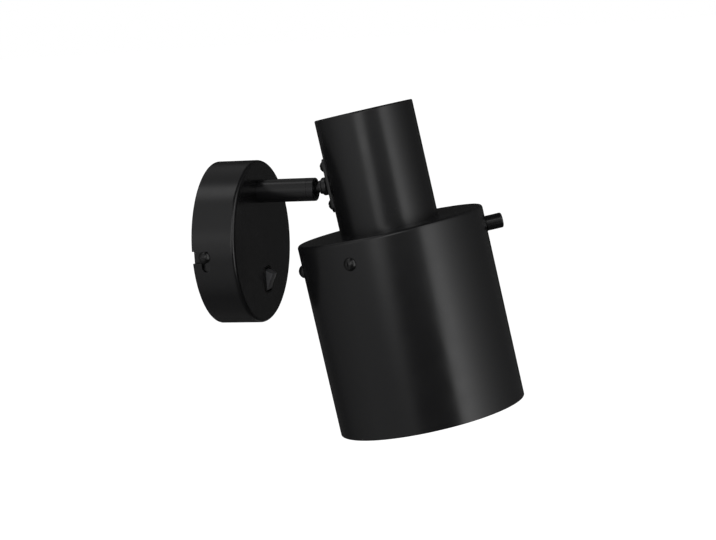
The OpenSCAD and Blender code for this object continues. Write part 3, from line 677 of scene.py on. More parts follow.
class Workshop:
    """Makes the pieces: it holds the node trees and the materials, and rides, slots and logs each piece."""

    def __init__(self) -> None:
        """Builds the node trees and every material."""
        self.turned = turned_tree()
        self.copies = copies_tree()
        self.materials = {slot: slot.value.build() for slot in Slot}

    def turn(self, outline: Points, slot: Slot, faces: int) -> Mesh:
        """Turns an outline round z.

        Args:
            outline: Its points as radius and height.
            slot: Its slot.
            faces: Faces round the axis.

        Returns:
            The turned mesh.
        """
        points = bpy.data.meshes.new("outline")
        points.from_pydata([(r, 0.0, z) for r, z in outline], [], [])
        carrier = mesh_object("outline", points)
        mesh = run_tree(carrier, self.turned, {
            "Outline Points": len(outline), "Faces Round": faces, "Material": self.materials[slot]})
        drop(carrier)
        return mesh

    def copy(self, pattern: Mesh, places: Iterable[Matrix], slot: Slot) -> Mesh:
        """Stands copies of a piece at places, each with its z along the place's z.

        Args:
            pattern: The piece's mesh, with its foot at the origin.
            places: Where the copies stand.
            slot: Their slot.

        Returns:
            One mesh of all the copies.
        """
        stands = list(places)
        points = bpy.data.meshes.new("places")
        points.from_pydata([tuple(stand.translation) for stand in stands], [], [])
        points.attributes.new("facing", "FLOAT_VECTOR", "POINT")
        points.attributes.new("turn", "FLOAT", "POINT")
        for i, stand in enumerate(stands):
            z = (stand.to_3x3() @ Vector((0, 0, 1))).normalized()
            plain = Vector((0, 0, 1)).rotation_difference(z).to_matrix()
            x = plain.inverted() @ (stand.to_3x3() @ Vector((1, 0, 0)))
            points.attributes["facing"].data[i].vector = z
            points.attributes["turn"].data[i].value = math.atan2(x.y, x.x)
        carrier = mesh_object("places", points)
        piece = mesh_object("pattern", pattern)
        mesh = run_tree(carrier, self.copies, {"Piece": piece, "Material": self.materials[slot]})
        drop(carrier, piece)
        paint(mesh, self.materials[slot])
        return mesh

    def cut(self, mesh: Mesh, cutters: Iterable[Mesh], operation: str = "DIFFERENCE") -> Mesh:
        """Cuts closed shapes out of a mesh, or joins them to it.

        Args:
            mesh: The mesh.
            cutters: The closed shapes.
            operation: The boolean's name.

        Returns:
            The mesh with the cuts.
        """
        work = mesh_object("work", mesh)
        tools = [mesh_object("cutter", cutter) for cutter in cutters]
        for tool in tools:
            modifier = work.modifiers.new("cut", "BOOLEAN")
            modifier.operation = operation
            modifier.solver = "EXACT"
            modifier.object = tool
        result = plain_mesh(work)
        drop(work, *tools)
        return result

    def bevel(self, mesh: Mesh, width: float, angle: float, steps: int) -> Mesh:
        """Breaks a mesh's sharp edges.

        Args:
            mesh: The mesh.
            width: Width of the broken edge.
            angle: The angle in degrees past which an edge is broken.
            steps: Faces in the broken edge.

        Returns:
            The bevelled mesh.
        """
        work = mesh_object("work", mesh)
        modifier = work.modifiers.new("edges", "BEVEL")
        modifier.width = width
        modifier.segments = steps
        modifier.limit_method = "ANGLE"
        modifier.angle_limit = math.radians(angle)
        modifier.miter_outer = "MITER_ARC"
        result = plain_mesh(work)
        drop(work)
        return result

    def place(self, name: str, mesh: Mesh, body: Body, slot: Slot, nodes: Sequence[str]) -> None:
        """Makes a piece of the object out of a finished mesh.

        Args:
            name: The piece's name.
            mesh: Its mesh, in place.
            body: The body that it rides on.
            slot: The record's material slot; not used.
            nodes: The CAD nodes that it stands for.
        """
        piece = mesh_object(name, mesh)
        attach(piece, body.value)
        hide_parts(*nodes)
        log.info("%s: %d faces on %s, for %s", name, len(mesh.polygons), body.value, ", ".join(nodes))

    def stand(self, name: str, mesh: Mesh, place: Matrix, body: Body, slot: Slot, nodes: Sequence[str],
              inside: Callable[[Vector], bool] | None = None) -> None:
        """Paints a mesh, finishes it in its place and makes a piece of it.

        Args:
            name: The piece's name.
            mesh: Its mesh, about its own axis.
            place: Where it stands in the frame.
            body: The body that it rides on.
            slot: The record's material slot.
            nodes: The CAD nodes that it stands for.
            inside: Tells which faces, by their centre, are painted white.
        """
        paint(mesh, self.materials[slot])
        if inside is not None:
            mesh.materials.append(self.materials[Slot.WHITE_PAINT])
            for face in mesh.polygons:
                face.material_index = int(inside(face.center))
        finish_mesh(mesh, place)
        self.place(name, mesh, body, slot, nodes)


# The frames that the sub-assemblies stand in

JOINTS = {joint["name"]: joint for joint in frame["joints"]}
PIVOT = Vector(JOINTS["rocker_throw"]["pos_m"])
BALL = Vector(JOINTS["head_turn"]["pos_m"])
TILT = math.asin(Vector(JOINTS["head_turn"]["axis"]).z)
OUT = Matrix.Rotation(math.radians(90), 4, "X")
ARM = Matrix.Translation(BALL) @ OUT
HEAD = Matrix.Translation(BALL) @ Matrix.Rotation(-TILT, 4, "X")
STUD = HEAD @ OUT
# Stands a side view, drawn as height and distance out, in the yz plane with its thickness along x
SIDE_VIEW = Matrix(((0, 0, 1, 0), (1, 0, 0, 0), (0, 1, 0, 0), (0, 0, 0, 1)))


def high(node: str) -> Vector:
    """Highest corner of a CAD node's box."""
    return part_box(node)[1]


def low(node: str) -> Vector:
    """Lowest corner of a CAD node's box."""
    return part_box(node)[0]


# Sub-assemblies


@dataclass(frozen=True)
class Screw:
    """A round-headed slotted screw."""

    head_r: float
    head_h: float
    shank_r: float
    shank_l: float
    slot_w: float = 0.9 * MM
    slot_depth: float = 0.8 * MM
    rim: float = 0.12 * MM
    rim_edge: float = 0.08 * MM
    undercut: float = 0.1 * MM
    tip_edge: float = 0.3 * MM
    slot_edge: float = 0.07 * MM
    # Degrees of the dome left to the rim, and the slot cutter's size as shares of the head's
    dome_left: float = 1.5
    cutter_l: float = 1.2
    cutter_h: float = 1.5

    def build(self, shop: Workshop) -> Mesh:
        """Builds the screw with its seat at the origin and its head up z.

        Args:
            shop: The workshop.

        Returns:
            The screw's mesh, to be copied.
        """
        ball = (self.head_r ** 2 + self.head_h ** 2) / (2 * self.head_h)
        dome_end = math.degrees(math.asin((ball - self.head_h) / ball)) + self.dome_left
        dome = arc_points(ball, 90, dome_end, 12, self.head_h - ball)
        outline = dome + rounded([
            Corner(*dome[-1]), Corner(self.head_r, self.rim, self.rim_edge),
            Corner(self.head_r - self.undercut, 0), Corner(self.shank_r, 0),
            Corner(self.shank_r, -self.shank_l, self.tip_edge), Corner(0, -self.shank_l)],
            closed=False, steps=2)[1:]
        mesh = shop.turn(outline, Slot.BLACK_STEEL, faces=64)
        finish_mesh(mesh, Matrix.Identity(4))
        foot, top = self.head_h - self.slot_depth, self.cutter_h * self.head_h
        slot = prism(rectangle(self.cutter_l * 2 * self.head_r, self.slot_w), foot, top)
        mesh = shop.bevel(shop.cut(mesh, [slot]), self.slot_edge, angle=50, steps=2)
        shade(mesh)
        return mesh


def set_screws(shop: Workshop, name: str, screw: Screw, places: Iterable[Matrix], body: Body) -> None:
    """Stands a set of screws in place of the CAD node of the same name.

    Args:
        shop: The workshop.
        name: The CAD node.
        screw: The screw.
        places: Where each stands, its head up z.
        body: The body that they ride on.
    """
    mesh = shop.copy(screw.build(shop), places, Slot.BLACK_STEEL)
    shade(mesh)
    shop.place(f"domed_{name}", mesh, body, Slot.BLACK_STEEL, [name])


@dataclass
class Canopy:
    """The wall canopy with its two L-shaped slots and their screws."""

    shop: Workshop
    wall: float = 1.5 * MM
    edge: float = 2.4 * MM
    rim_edge: float = 0.3 * MM
    inner_edge: float = 0.5 * MM
    arm_hole_r: float = 5.15 * MM
    cutout: tuple[float, float, float] = (13 * MM, 17 * MM, 4 * MM)
    slot_w: float = 4.8 * MM
    mouth_w: float = 7.3 * MM
    leg: float = 9.2 * MM
    screw_out: float = 7.8 * MM
    screw_drop: float = 2.2 * MM
    screw: Screw = Screw(head_r=3.65 * MM, head_h=2.4 * MM, shank_r=2 * MM, shank_l=7 * MM)
    cut_in: float = 4 * MM
    cut_out: float = 2 * MM
    overrun: float = 1 * MM

    def __post_init__(self) -> None:
        """Takes the canopy's size from the frame."""
        self.radius = high("canopy").x
        self.depth = -low("canopy").y

    def build(self) -> None:
        """Builds the canopy's cup and its screws."""
        inner, face = self.radius - self.wall, self.depth - self.wall
        outline = rounded([
            Corner(0, self.depth), Corner(self.radius, self.depth, self.edge),
            Corner(self.radius, 0, self.rim_edge), Corner(inner, 0, self.rim_edge),
            Corner(inner, face, self.inner_edge), Corner(0, face)], closed=False, steps=8)
        mesh = self.shop.turn(outline, Slot.BLACK_PAINT, faces=256)
        finish_mesh(mesh, Matrix.Identity(4))
        mesh = self.shop.cut(mesh, self.cutters(inner, face))
        self.shop.stand("spun_canopy", mesh, OUT, Body.WALL_MOUNT, Slot.BLACK_PAINT, ["canopy"])
        self.set_side_screws()

    def cutters(self, inner: float, face: float) -> list[Mesh]:
        """Makes the shapes that are cut out of the cup: its slots, the switch's hole and the arm's.

        Args:
            inner: Inner radius of the cup.
            face: Distance of its face's inner side from the wall.

        Returns:
            The closed shapes.
        """
        start, end = inner - self.cut_in, self.radius + self.cut_out
        through = (face - self.overrun, self.depth + self.overrun)
        switch = Matrix.Translation(((low("switch_rocker").x + high("switch_rocker").x) / 2, PIVOT.z, 0))
        steps = 48
        turns = [math.tau * i / steps for i in range(steps)]
        ring = [(self.arm_hole_r * math.cos(a), BALL.z + self.arm_hole_r * math.sin(a)) for a in turns]
        return [prism(self.slot_outline(Side.RIGHT), start, end, SIDE_VIEW),
                prism(self.slot_outline(Side.LEFT), -end, -start, SIDE_VIEW),
                prism(rounded_rectangle(*self.cutout), *through, switch),
                prism(ring, *through)]

    def slot_outline(self, side: Side) -> Points:
        """Outline of one slot as height on the wall and distance out of it.

        Args:
            side: LEFT has its leg below the screw, RIGHT above it.

        Returns:
            The outline's points.
        """
        way = side.value
        centre, half, out = -self.screw_drop, self.slot_w / 2, self.screw_out
        leg_end = centre + way * (self.leg - half)
        shut, open_side = centre - way * self.mouth_w / 2, centre + way * self.mouth_w / 2
        round_end = [(leg_end + way * x, y) for x, y in arc_points(half, -90, 90, 12, out)]
        return [(shut, -self.overrun), (open_side, -self.overrun), (open_side, out - half), *round_end,
                (shut, out + half)]

    def set_side_screws(self) -> None:
        """Stands the two screws that hold the canopy to its bracket."""
        seat = self.radius + CLEARANCE
        places = [OUT @ Matrix.Translation((side.value * seat, -self.screw_drop, self.screw_out))
                  @ Matrix.Rotation(math.radians(90 * side.value), 4, "Y") for side in Side]
        set_screws(self.shop, "canopy_screws", self.screw, places, Body.WALL_MOUNT)


@dataclass
class RockerSwitch:
    """The rocker switch in the canopy's face: its housing and its rocker."""

    shop: Workshop
    collar: tuple[float, float, float] = (12.7 * MM, 16.7 * MM, 3.85 * MM)
    proud: float = 0.4 * MM
    flange: tuple[float, float, float] = (16.2 * MM, 20.2 * MM, 4 * MM)
    flange_t: float = 1.2 * MM
    flange_drop: float = 1.55 * MM
    well: tuple[float, float, float] = (8.6 * MM, 14.62 * MM, 0.6 * MM)
    well_depth: float = 7.4 * MM
    overrun: float = 2 * MM
    edge: float = 0.3 * MM
    rocker_w: float = 7.6 * MM
    rocker_edge: float = 0.45 * MM
    lean: float = 18.0
    foot_share: float = 0.8428
    crest_share: float = 0.7644
    dish_share: float = 0.098
    foot: float = 1 * MM
    belly: float = 3.4 * MM
    crest: float = 5.2 * MM
    dish: float = 4.4 * MM
    low_crest: float = 4.2 * MM
    foot_rounding: float = 0.5 * MM
    belly_rounding: float = 1.5 * MM
    crest_rounding: float = 0.9 * MM
    dish_rounding: float = 4 * MM

    def build(self) -> None:
        """Builds the housing and the rocker."""
        face = -low("canopy").y
        body = prism(rounded_rectangle(*self.collar), -high("switch_housing").y, face + self.proud)
        flange_top = face - self.flange_drop
        flange = prism(rounded_rectangle(*self.flange), flange_top - self.flange_t, flange_top)
        well = prism(rounded_rectangle(*self.well, steps=4), face - self.well_depth, face + self.overrun)
        mesh = self.shop.cut(self.shop.cut(body, [flange], "UNION"), [well])
        mesh = self.shop.bevel(mesh, self.edge, angle=50, steps=3)
        place = OUT @ Matrix.Translation((PIVOT.x, PIVOT.z, 0))
        self.shop.stand("switch_bezel", mesh, place, Body.WALL_MOUNT, Slot.BLACK_NYLON, ["switch_housing"])
        self.build_rocker()

    def rocker_outline(self) -> Points:
        """Side view of the rocker: height along its face and distance out of its pivot.

        Returns:
            The outline's points, with a dished top between two rounded ends.
        """
        half = self.well[1] / 2
        foot, crest = self.foot_share * half, self.crest_share * half
        return rounded([
            Corner(-foot, -self.foot, self.foot_rounding), Corner(0, -self.belly, self.belly_rounding),
            Corner(foot, -self.foot, self.foot_rounding), Corner(crest, self.crest, self.crest_rounding),
            Corner(-self.dish_share * half, self.dish, self.dish_rounding),
            Corner(-crest, self.low_crest, self.crest_rounding)], closed=True)[:-1]

    def build_rocker(self) -> None:
        """Builds the rocker at rest, its upper end out."""
        solid = prism(self.rocker_outline(), -self.rocker_w / 2, self.rocker_w / 2, SIDE_VIEW)
        mesh = self.shop.bevel(solid, self.rocker_edge, angle=50, steps=4)
        place = Matrix.Translation(PIVOT) @ OUT @ Matrix.Rotation(math.radians(self.lean), 4, "X")
        self.shop.stand("rocker_key", mesh, place, Body.ROCKER, Slot.DARK_NYLON, ["switch_rocker"])


@dataclass
class Arm:
    """The arm, its socket cap, the ball and the stud with its collar."""

    shop: Workshop
    faces: int = 96
    bore: float = 2.6 * MM
    bore_edge: float = 0.3 * MM
    thread: float = 5 * MM
    thread_edge: float = 0.5 * MM
    foot_edge: float = 0.15 * MM
    socket: float = 6.2 * MM
    cap_seam: float = -1.3 * MM
    groove: float = 0.1 * MM
    sleeve_edge: float = 0.1 * MM
    front: float = 3.3 * MM
    front_edge: float = 0.6 * MM
    lip: float = 1.2 * MM
    lip_edge: float = 0.15 * MM
    # Where the lip's slope heads, as a share of the socket's radius and a height
    slope: tuple[float, float] = (0.93, 2 * MM)
    mouth_angle: float = 21.8
    stud: float = 3 * MM
    stud_l: float = 21.25 * MM
    stud_tail: float = 3 * MM
    stud_edge: float = 0.3 * MM
    stud_tip_edge: float = 0.4 * MM
    stud_bore: float = 1.6 * MM
    stud_bore_edge: float = 0.2 * MM
    collar_bore_edge: float = 0.2 * MM
    hub_bore_edge: float = 0.1 * MM
    collar: float = 5.5 * MM
    collar_t: float = 4 * MM
    collar_edge: float = 1.2 * MM
    hub: float = 4.2 * MM
    hub_l: float = 1.6 * MM
    hub_edge: float = 0.4 * MM
    plate_face: float = 11.7 * MM

    def build(self) -> None:
        """Builds the arm, the cap, the ball, the stud and the collar."""
        self.radius = high("arm_tube").x
        self.ball = high("pivot_ball").x
        self.turned("arm_tube_turned", self.tube(), ARM, Body.WALL_MOUNT, Slot.BLACK_PAINT, "arm_tube")
        self.turned("socket_cap_turned", self.cap(), ARM, Body.WALL_MOUNT, Slot.BLACK_PAINT, "socket_cap")
        edge = math.degrees(math.acos((self.stud + CLEARANCE) / self.ball))
        ball = arc_points(self.ball, edge, -edge, 36)
        ball.append(ball[0])
        self.turned("pivot_ball_turned", ball, STUD, Body.PIVOT_BALL, Slot.BLACK_STEEL, "pivot_ball")
        stud = rounded([
            Corner(self.stud_bore, -self.stud_tail, self.stud_bore_edge),
            Corner(self.stud, -self.stud_tail, self.stud_edge),
            Corner(self.stud, self.stud_l, self.stud_tip_edge),
            Corner(self.stud_bore, self.stud_l, self.stud_bore_edge)], closed=True, steps=3)
        self.turned("hollow_stud", stud, STUD, Body.HEAD, Slot.BLACK_STEEL, "stud_tube")
        collar = self.collar_outline()
        self.turned("stud_collar_turned", collar, STUD, Body.HEAD, Slot.BLACK_PAINT, "stud_collar")

    def turned(self, name: str, outline: Points, place: Matrix, body: Body, slot: Slot, node: str) -> None:
        """Turns one piece and stands it in place of its node."""
        self.shop.stand(name, self.shop.turn(outline, slot, self.faces), place, body, slot, [node])

    def tube(self) -> Points:
        """Outline of the tube, with its threaded end behind the canopy's face.

        Returns:
            The outline's points.
        """
        rear = BALL.y - high("arm_tube").y
        foot = BALL.y - low("canopy").y
        shoulder = BALL.y - high("spring_discs").y - CLEARANCE
        return rounded([
            Corner(self.bore, rear, self.bore_edge), Corner(self.thread, rear, self.thread_edge),
            Corner(self.thread, foot), Corner(self.radius, foot, self.foot_edge),
            Corner(self.radius, self.cap_seam, self.groove), Corner(self.socket, self.cap_seam),
            Corner(self.socket, shoulder), Corner(self.bore, shoulder, self.bore_edge)], closed=True, steps=5)

    def cap(self) -> Points:
        """Outline of the socket cap: a sleeve in the arm and a lip over the ball.

        Returns:
            The outline's points.
        """
        inner, thread = self.ball + CLEARANCE, self.socket - CLEARANCE
        rear, seam = BALL.y - high("socket_cap").y, self.cap_seam + CLEARANCE
        share, height = self.slope
        outer = rounded([
            Corner(inner, rear), Corner(thread, rear, self.sleeve_edge), Corner(thread, seam),
            Corner(self.radius, seam, self.groove), Corner(self.radius, self.front, self.front_edge),
            Corner(self.radius - self.lip, self.front, self.lip_edge), Corner(share * inner, height)],
            closed=False, steps=5)
        return outer[:-1] + arc_points(inner, self.mouth_angle, 0, 8) + [outer[0]]

    def collar_outline(self) -> Points:
        """Outline of the collar on the shade's plate, with the small hub behind it.

        Returns:
            The outline's points.
        """
        top, bore = self.plate_face - CLEARANCE, self.stud + CLEARANCE
        rear = top - self.collar_t
        return rounded([
            Corner(bore, rear - self.hub_l, self.hub_bore_edge),
            Corner(self.hub, rear - self.hub_l, self.hub_edge),
            Corner(self.hub, rear), Corner(self.collar, rear, self.collar_edge),
            Corner(self.collar, top, self.collar_edge),
            Corner(bore, top, self.collar_bore_edge)], closed=True)


@dataclass
class Shades:
    """The two shades, the saddle plate, their screws, the handle pin and the carrier."""

    shop: Workshop
    reach: float = 43.5 * MM
    top: float = 39.9 * MM
    upper_h: float = 70.6 * MM
    upper_wall: float = 1.2 * MM
    upper_edge: float = 0.8 * MM
    upper_inner_edge: float = 0.6 * MM
    upper_foot_edge: float = 0.1 * MM
    lower_h: float = 117.9 * MM
    lower_wall: float = 1 * MM
    lower_edge: float = 1.8 * MM
    lower_inner_edge: float = 0.8 * MM
    mouth_edge: float = 0.3 * MM
    hole_edge: float = 0.12 * MM
    white_from: float = 1 * MM
    gap: float = 0.15 * MM
    carrier_hole: float = 19.95 * MM
    carrier_t: float = 1.4 * MM
    carrier_edge: float = 1.2 * MM
    carrier_hole_edge: float = 0.3 * MM
    skirt: float = 22 * MM
    skirt_edge: float = 0.4 * MM
    pin_angle: float = 22.0
    pin_drop: float = 12.6 * MM
    pin_r: float = 4.6 * MM
    pin_l: float = 10.4 * MM
    pin_edge: float = 1 * MM
    pin_foot_edge: float = 0.3 * MM
    pin_shank_r: float = 2.5 * MM
    pin_shank_l: float = 5 * MM
    plate_w: float = 12 * MM
    plate_h: float = 33 * MM
    plate_corner: float = 4 * MM
    plate_t: float = 1.8 * MM
    plate_edge: float = 0.35 * MM
    plate_pitch: float = 23.4 * MM
    # Degrees from the shade's front and drop from its top, for each screw
    screw_places: tuple[tuple[float, float], ...] = ((-101, 13.4 * MM), (-157, 15.6 * MM), (142, 13.4 * MM))
    shade_screw: Screw = Screw(head_r=4 * MM, head_h=2.6 * MM, shank_r=2 * MM, shank_l=5 * MM)
    plate_screw: Screw = Screw(head_r=3.65 * MM, head_h=2.9 * MM, shank_r=1.7 * MM, shank_l=5.5 * MM)

    def __post_init__(self) -> None:
        """Works out the shades' places from the frame."""
        self.upper_r = high("upper_shade").x
        self.lower_r = high("lower_shade").x
        self.axis = HEAD @ Matrix.Translation((0, -self.reach, 0))
        self.rim = self.top - self.upper_h
        self.under = self.rim - self.lower_wall
        self.inner = self.lower_r - self.lower_wall

    def build(self) -> None:
        """Builds both shades and what is on them."""
        self.build_upper()
        self.build_lower()
        self.build_carrier()
        self.build_pin()
        self.build_plate()
        self.set_shade_screws()
        self.set_plate_screws()

    def around(self, angle: float, drop_by: float) -> Matrix:
        """Place on the lower shade's side, z pointing out.

        Args:
            angle: Degrees from the shade's front.
            drop_by: Drop from the shade's top.

        Returns:
            The place.
        """
        spin = Matrix.Rotation(math.radians(angle - 90), 4, "Z")
        shift = Matrix.Translation((self.lower_r + CLEARANCE, 0, self.rim - drop_by))
        return self.axis @ spin @ shift @ Matrix.Rotation(math.radians(90), 4, "Y")

    def turned(self, name: str, outline: Points, node: str, faces: int, slot: Slot = Slot.BLACK_PAINT,
               place: Matrix | None = None, inside: Callable[[Vector], bool] | None = None) -> None:
        """Turns one piece of the head and stands it in place of its node.

        Args:
            name: The piece's name.
            outline: Its outline.
            node: The node that it stands for.
            faces: Faces round.
            slot: Its slot.
            place: Where it stands; the shade's axis if none is given.
            inside: Tells which faces, by their centre, are painted white.
        """
        mesh = self.shop.turn(outline, slot, faces)
        self.shop.stand(name, mesh, place or self.axis, Body.HEAD, slot, [node], inside)

    def build_upper(self) -> None:
        """Builds the upper shade: a drawn cup, closed at its top."""
        inner, ceiling = self.upper_r - self.upper_wall, self.top - self.upper_wall
        self.turned("upper_shade_drawn", rounded([
            Corner(0, self.top), Corner(self.upper_r, self.top, self.upper_edge),
            Corner(self.upper_r, self.under, self.upper_foot_edge),
            Corner(inner, self.under, self.upper_foot_edge),
            Corner(inner, ceiling, self.upper_inner_edge), Corner(0, ceiling)], closed=False, steps=8),
            "upper_shade", faces=192)

    def build_lower(self) -> None:
        """Builds the lower shade: spun, black outside and white inside."""
        hole, mouth = self.upper_r + self.gap, self.rim - self.lower_h
        widest, highest, lowest = self.inner + CLEARANCE, self.under + CLEARANCE, mouth + self.white_from
        self.turned("lower_shade_spun", rounded([
            Corner(hole, self.rim, self.hole_edge), Corner(self.lower_r, self.rim, self.lower_edge),
            Corner(self.lower_r, mouth, self.mouth_edge), Corner(self.inner, mouth, self.mouth_edge),
            Corner(self.inner, self.under, self.lower_inner_edge), Corner(hole, self.under, self.hole_edge)],
            closed=True, steps=8), "lower_shade", faces=256,
            inside=lambda c: math.hypot(c.x, c.y) < widest and lowest < c.z < highest)

    def build_carrier(self) -> None:
        """Builds the pan that the lampholder clamps."""
        outer, top = self.inner - self.gap, self.under - self.gap
        floor, foot = top - self.carrier_t, top - self.skirt
        self.turned("shade_carrier_pan", rounded([
            Corner(self.carrier_hole, top, self.carrier_hole_edge), Corner(outer, top, self.carrier_edge),
            Corner(outer, foot, self.skirt_edge), Corner(outer - self.carrier_t, foot, self.skirt_edge),
            Corner(outer - self.carrier_t, floor, self.carrier_edge),
            Corner(self.carrier_hole, floor, self.carrier_hole_edge)], closed=True),
            "shade_carrier", faces=192, slot=Slot.WHITE_PAINT)

    def build_pin(self) -> None:
        """Builds the handle pin at the front of the lower shade."""
        self.turned("handle_pin_turned", rounded([
            Corner(0, self.pin_l), Corner(self.pin_r, self.pin_l, self.pin_edge),
            Corner(self.pin_r, 0, self.pin_foot_edge), Corner(self.pin_shank_r, 0),
            Corner(self.pin_shank_r, -self.pin_shank_l, self.pin_foot_edge),
            Corner(0, -self.pin_shank_l)], closed=False),
            "handle_pin", faces=64, place=self.around(self.pin_angle, self.pin_drop))

    def set_shade_screws(self) -> None:
        """Stands the screws that hold the lower shade to its carrier."""
        places = [self.around(angle, drop_by) for angle, drop_by in self.screw_places]
        set_screws(self.shop, "shade_screws", self.shade_screw, places, Body.HEAD)

    def set_plate_screws(self) -> None:
        """Stands the screws of the saddle plate, one above the stud and one below it."""
        face = self.reach - self.upper_r - self.plate_t - CLEARANCE
        turn = Matrix.Rotation(math.pi, 4, "X")
        places = [STUD @ Matrix.Translation((0, height, face)) @ turn
                  for height in (-self.plate_pitch / 2, self.plate_pitch / 2)]
        set_screws(self.shop, "plate_screws", self.plate_screw, places, Body.HEAD)

    def build_plate(self) -> None:
        """Builds the saddle plate: a rounded rectangle curved round the upper shade."""
        half, corner, steps = self.plate_w / 2, self.plate_corner, 10
        columns = [corner * (1 - math.cos(math.radians(90 * i / steps))) - half for i in range(steps)]
        columns += [corner - half + 2 * (half - corner) * i / steps for i in range(steps + 1)]
        columns += [-x for x in reversed(columns[:steps])]
        inner, outer = self.upper_r + CLEARANCE, self.upper_r + self.plate_t
        work = bmesh.new()
        rows = []
        for x in columns:
            inset = max(0.0, abs(x) - (half - corner))
            end = self.plate_h / 2 - corner + math.sqrt(max(0.0, corner ** 2 - inset ** 2))
            rows.append([work.verts.new((x, y, self.reach - math.sqrt(r ** 2 - x ** 2)))
                         for r, y in ((outer, -end), (outer, end), (inner, end), (inner, -end))])
        for a, b in zip(rows, rows[1:]):
            for i in range(4):
                j = (i + 1) % 4
                work.faces.new((a[i], a[j], b[j], b[i]))
        work.faces.new(rows[0])
        work.faces.new(rows[-1])
        bmesh.ops.recalc_face_normals(work, faces=work.faces)
        mesh = self.shop.bevel(new_mesh("plate", work), self.plate_edge, angle=40, steps=3)
        self.shop.stand("saddle_plate", mesh, STUD, Body.HEAD, Slot.BLACK_PAINT, ["joint_plate"])


@dataclass
class Bulb:
    """The bulb's glass: a ball, the cone that touches it and a straight neck."""

    shop: Workshop
    axis: Matrix
    radius: float = 30 * MM
    centre: float = -88.9 * MM
    neck: float = 12.05 * MM
    neck_top: float = -37.95 * MM
    neck_l: float = 2 * MM
    wall: float = 0.8 * MM

    def outline(self, inset: float) -> Points:
        """One side of the glass, from its tip to its neck.

        Args:
            inset: How far it lies inside the outer side.

        Returns:
            The points.
        """
        radius, neck = self.radius - inset, self.neck - inset
        rise = self.neck_top - self.neck_l - self.centre
        shoulder = math.degrees(math.atan2(rise, neck) - math.acos(radius / math.hypot(neck, rise)))
        points = arc_points(radius, -90, shoulder, 40, self.centre)
        cone_r, cone_z = points[-1]
        steps = 6
        points += [(cone_r + (neck - cone_r) * i / steps, cone_z + (self.centre + rise - cone_z) * i / steps)
                   for i in range(1, steps + 1)]
        return points + [(neck, self.neck_top)]

    def build(self) -> None:
        """Builds the glass."""
        outline = self.outline(0.0) + self.outline(self.wall)[::-1]
        mesh = self.shop.turn(outline, Slot.OPAL_GLASS, faces=96)
        self.shop.stand("blown_bulb_glass", mesh, self.axis, Body.HEAD, Slot.OPAL_GLASS, ["bulb_glass"])


def dress_nodes(shop: Workshop) -> None:
    """Gives each CAD node that still shows the finish of its slot.

    Args:
        shop: The workshop.
    """
    slots = {part["node"]: Slot[part["material_slot"].upper()] for part in frame["record"]["subparts"]}
    for name, piece in frame["nodes"].items():
        if piece.hide_render:
            continue
        finish = shop.materials[slots[name]]
        for slot in piece.material_slots:
            slot.material = finish
        log.info("%s: CAD node in %s", name, finish.name)


# Studio


@dataclass(frozen=True)
class Softbox:
    """A rectangular soft lamp that faces the object and isn't seen or mirrored."""

    name: str
    azimuth: float
    elevation: float
    distance: float
    width: float
    height: float
    radiance: float

    def build(self, target: Vector) -> None:
        """Hangs the lamp.

        Args:
            target: The point that it faces.
        """
        lamp = bpy.data.lights.new(self.name, "AREA")
        lamp.shape = "RECTANGLE"
        lamp.size, lamp.size_y = self.width, self.height
        lamp.energy = math.pi * self.radiance * self.width * self.height
        a, e = math.radians(self.azimuth), math.radians(self.elevation)
        way = Vector((math.cos(a) * math.cos(e), math.sin(a) * math.cos(e), math.sin(e)))
        stand = bpy.data.objects.new(self.name, lamp)
        stand.location = target + way * self.distance
        stand.rotation_euler = way.to_track_quat("Z", "Y").to_euler()
        stand.visible_camera = False
        stand.visible_glossy = False
        bpy.context.scene.collection.objects.link(stand)


@dataclass(frozen=True)
class Panel:
    """A soft-edged bright panel of the dome, in degrees round it and above the level.

    Its radiance grows from first at ramp_start to its full value at ramp_end, or is the same all over where
    no first is given. It dies away from hold over fade degrees, and is scaled from gain_low at the elevation
    gain_from to one at gain_to. Its sides lean by slant degrees round the dome for each degree up.
    """

    start: float
    end: float
    low: float
    high: float
    radiance: float
    first: float | None = None
    ramp_start: float = 0.0
    ramp_end: float = 360.0
    hold: float = 360.0
    fade: float = 20.0
    gain_low: float = 1.0
    gain_from: float = -12.0
    gain_to: float = 12.0
    soft_start: float = 4.0
    soft_end: float = 4.0
    soft_low: float = 10.0
    soft_high: float = 6.0
    slant: float = 0.0

    def build(self, tree: NodeTree, azimuth: NodeSocket, elevation: NodeSocket) -> NodeSocket:
        """Paints the panel.

        Args:
            tree: The dome's material.
            azimuth: Degrees round the dome.
            elevation: Degrees above the level.

        Returns:
            The panel's radiance.
        """
        first = self.radiance if self.first is None else self.first
        glow = remap(tree, azimuth, (self.ramp_start, self.ramp_end), (first, self.radiance))
        past = maths(tree, "SUBTRACT", azimuth, self.hold)
        spent = maths(tree, "MAXIMUM", past, 0.0)
        share = maths(tree, "DIVIDE", spent, -self.fade)
        faded = maths(tree, "EXPONENT", share)
        gain = remap(tree, elevation, (self.gain_from, self.gain_to), (self.gain_low, 1.0))
        leant = maths(tree, "MULTIPLY_ADD", elevation, -self.slant, azimuth)
        sides = ((leant, self.start, -self.soft_start), (leant, self.end, self.soft_end),
                 (elevation, self.low, -self.soft_low), (elevation, self.high, self.soft_high))
        steps = [remap(tree, value, (edge + soft, edge - soft), curve="SMOOTHSTEP")
                 for value, edge, soft in sides]
        for part in (faded, gain, *steps):
            glow = maths(tree, "MULTIPLY", glow, part)
        return glow


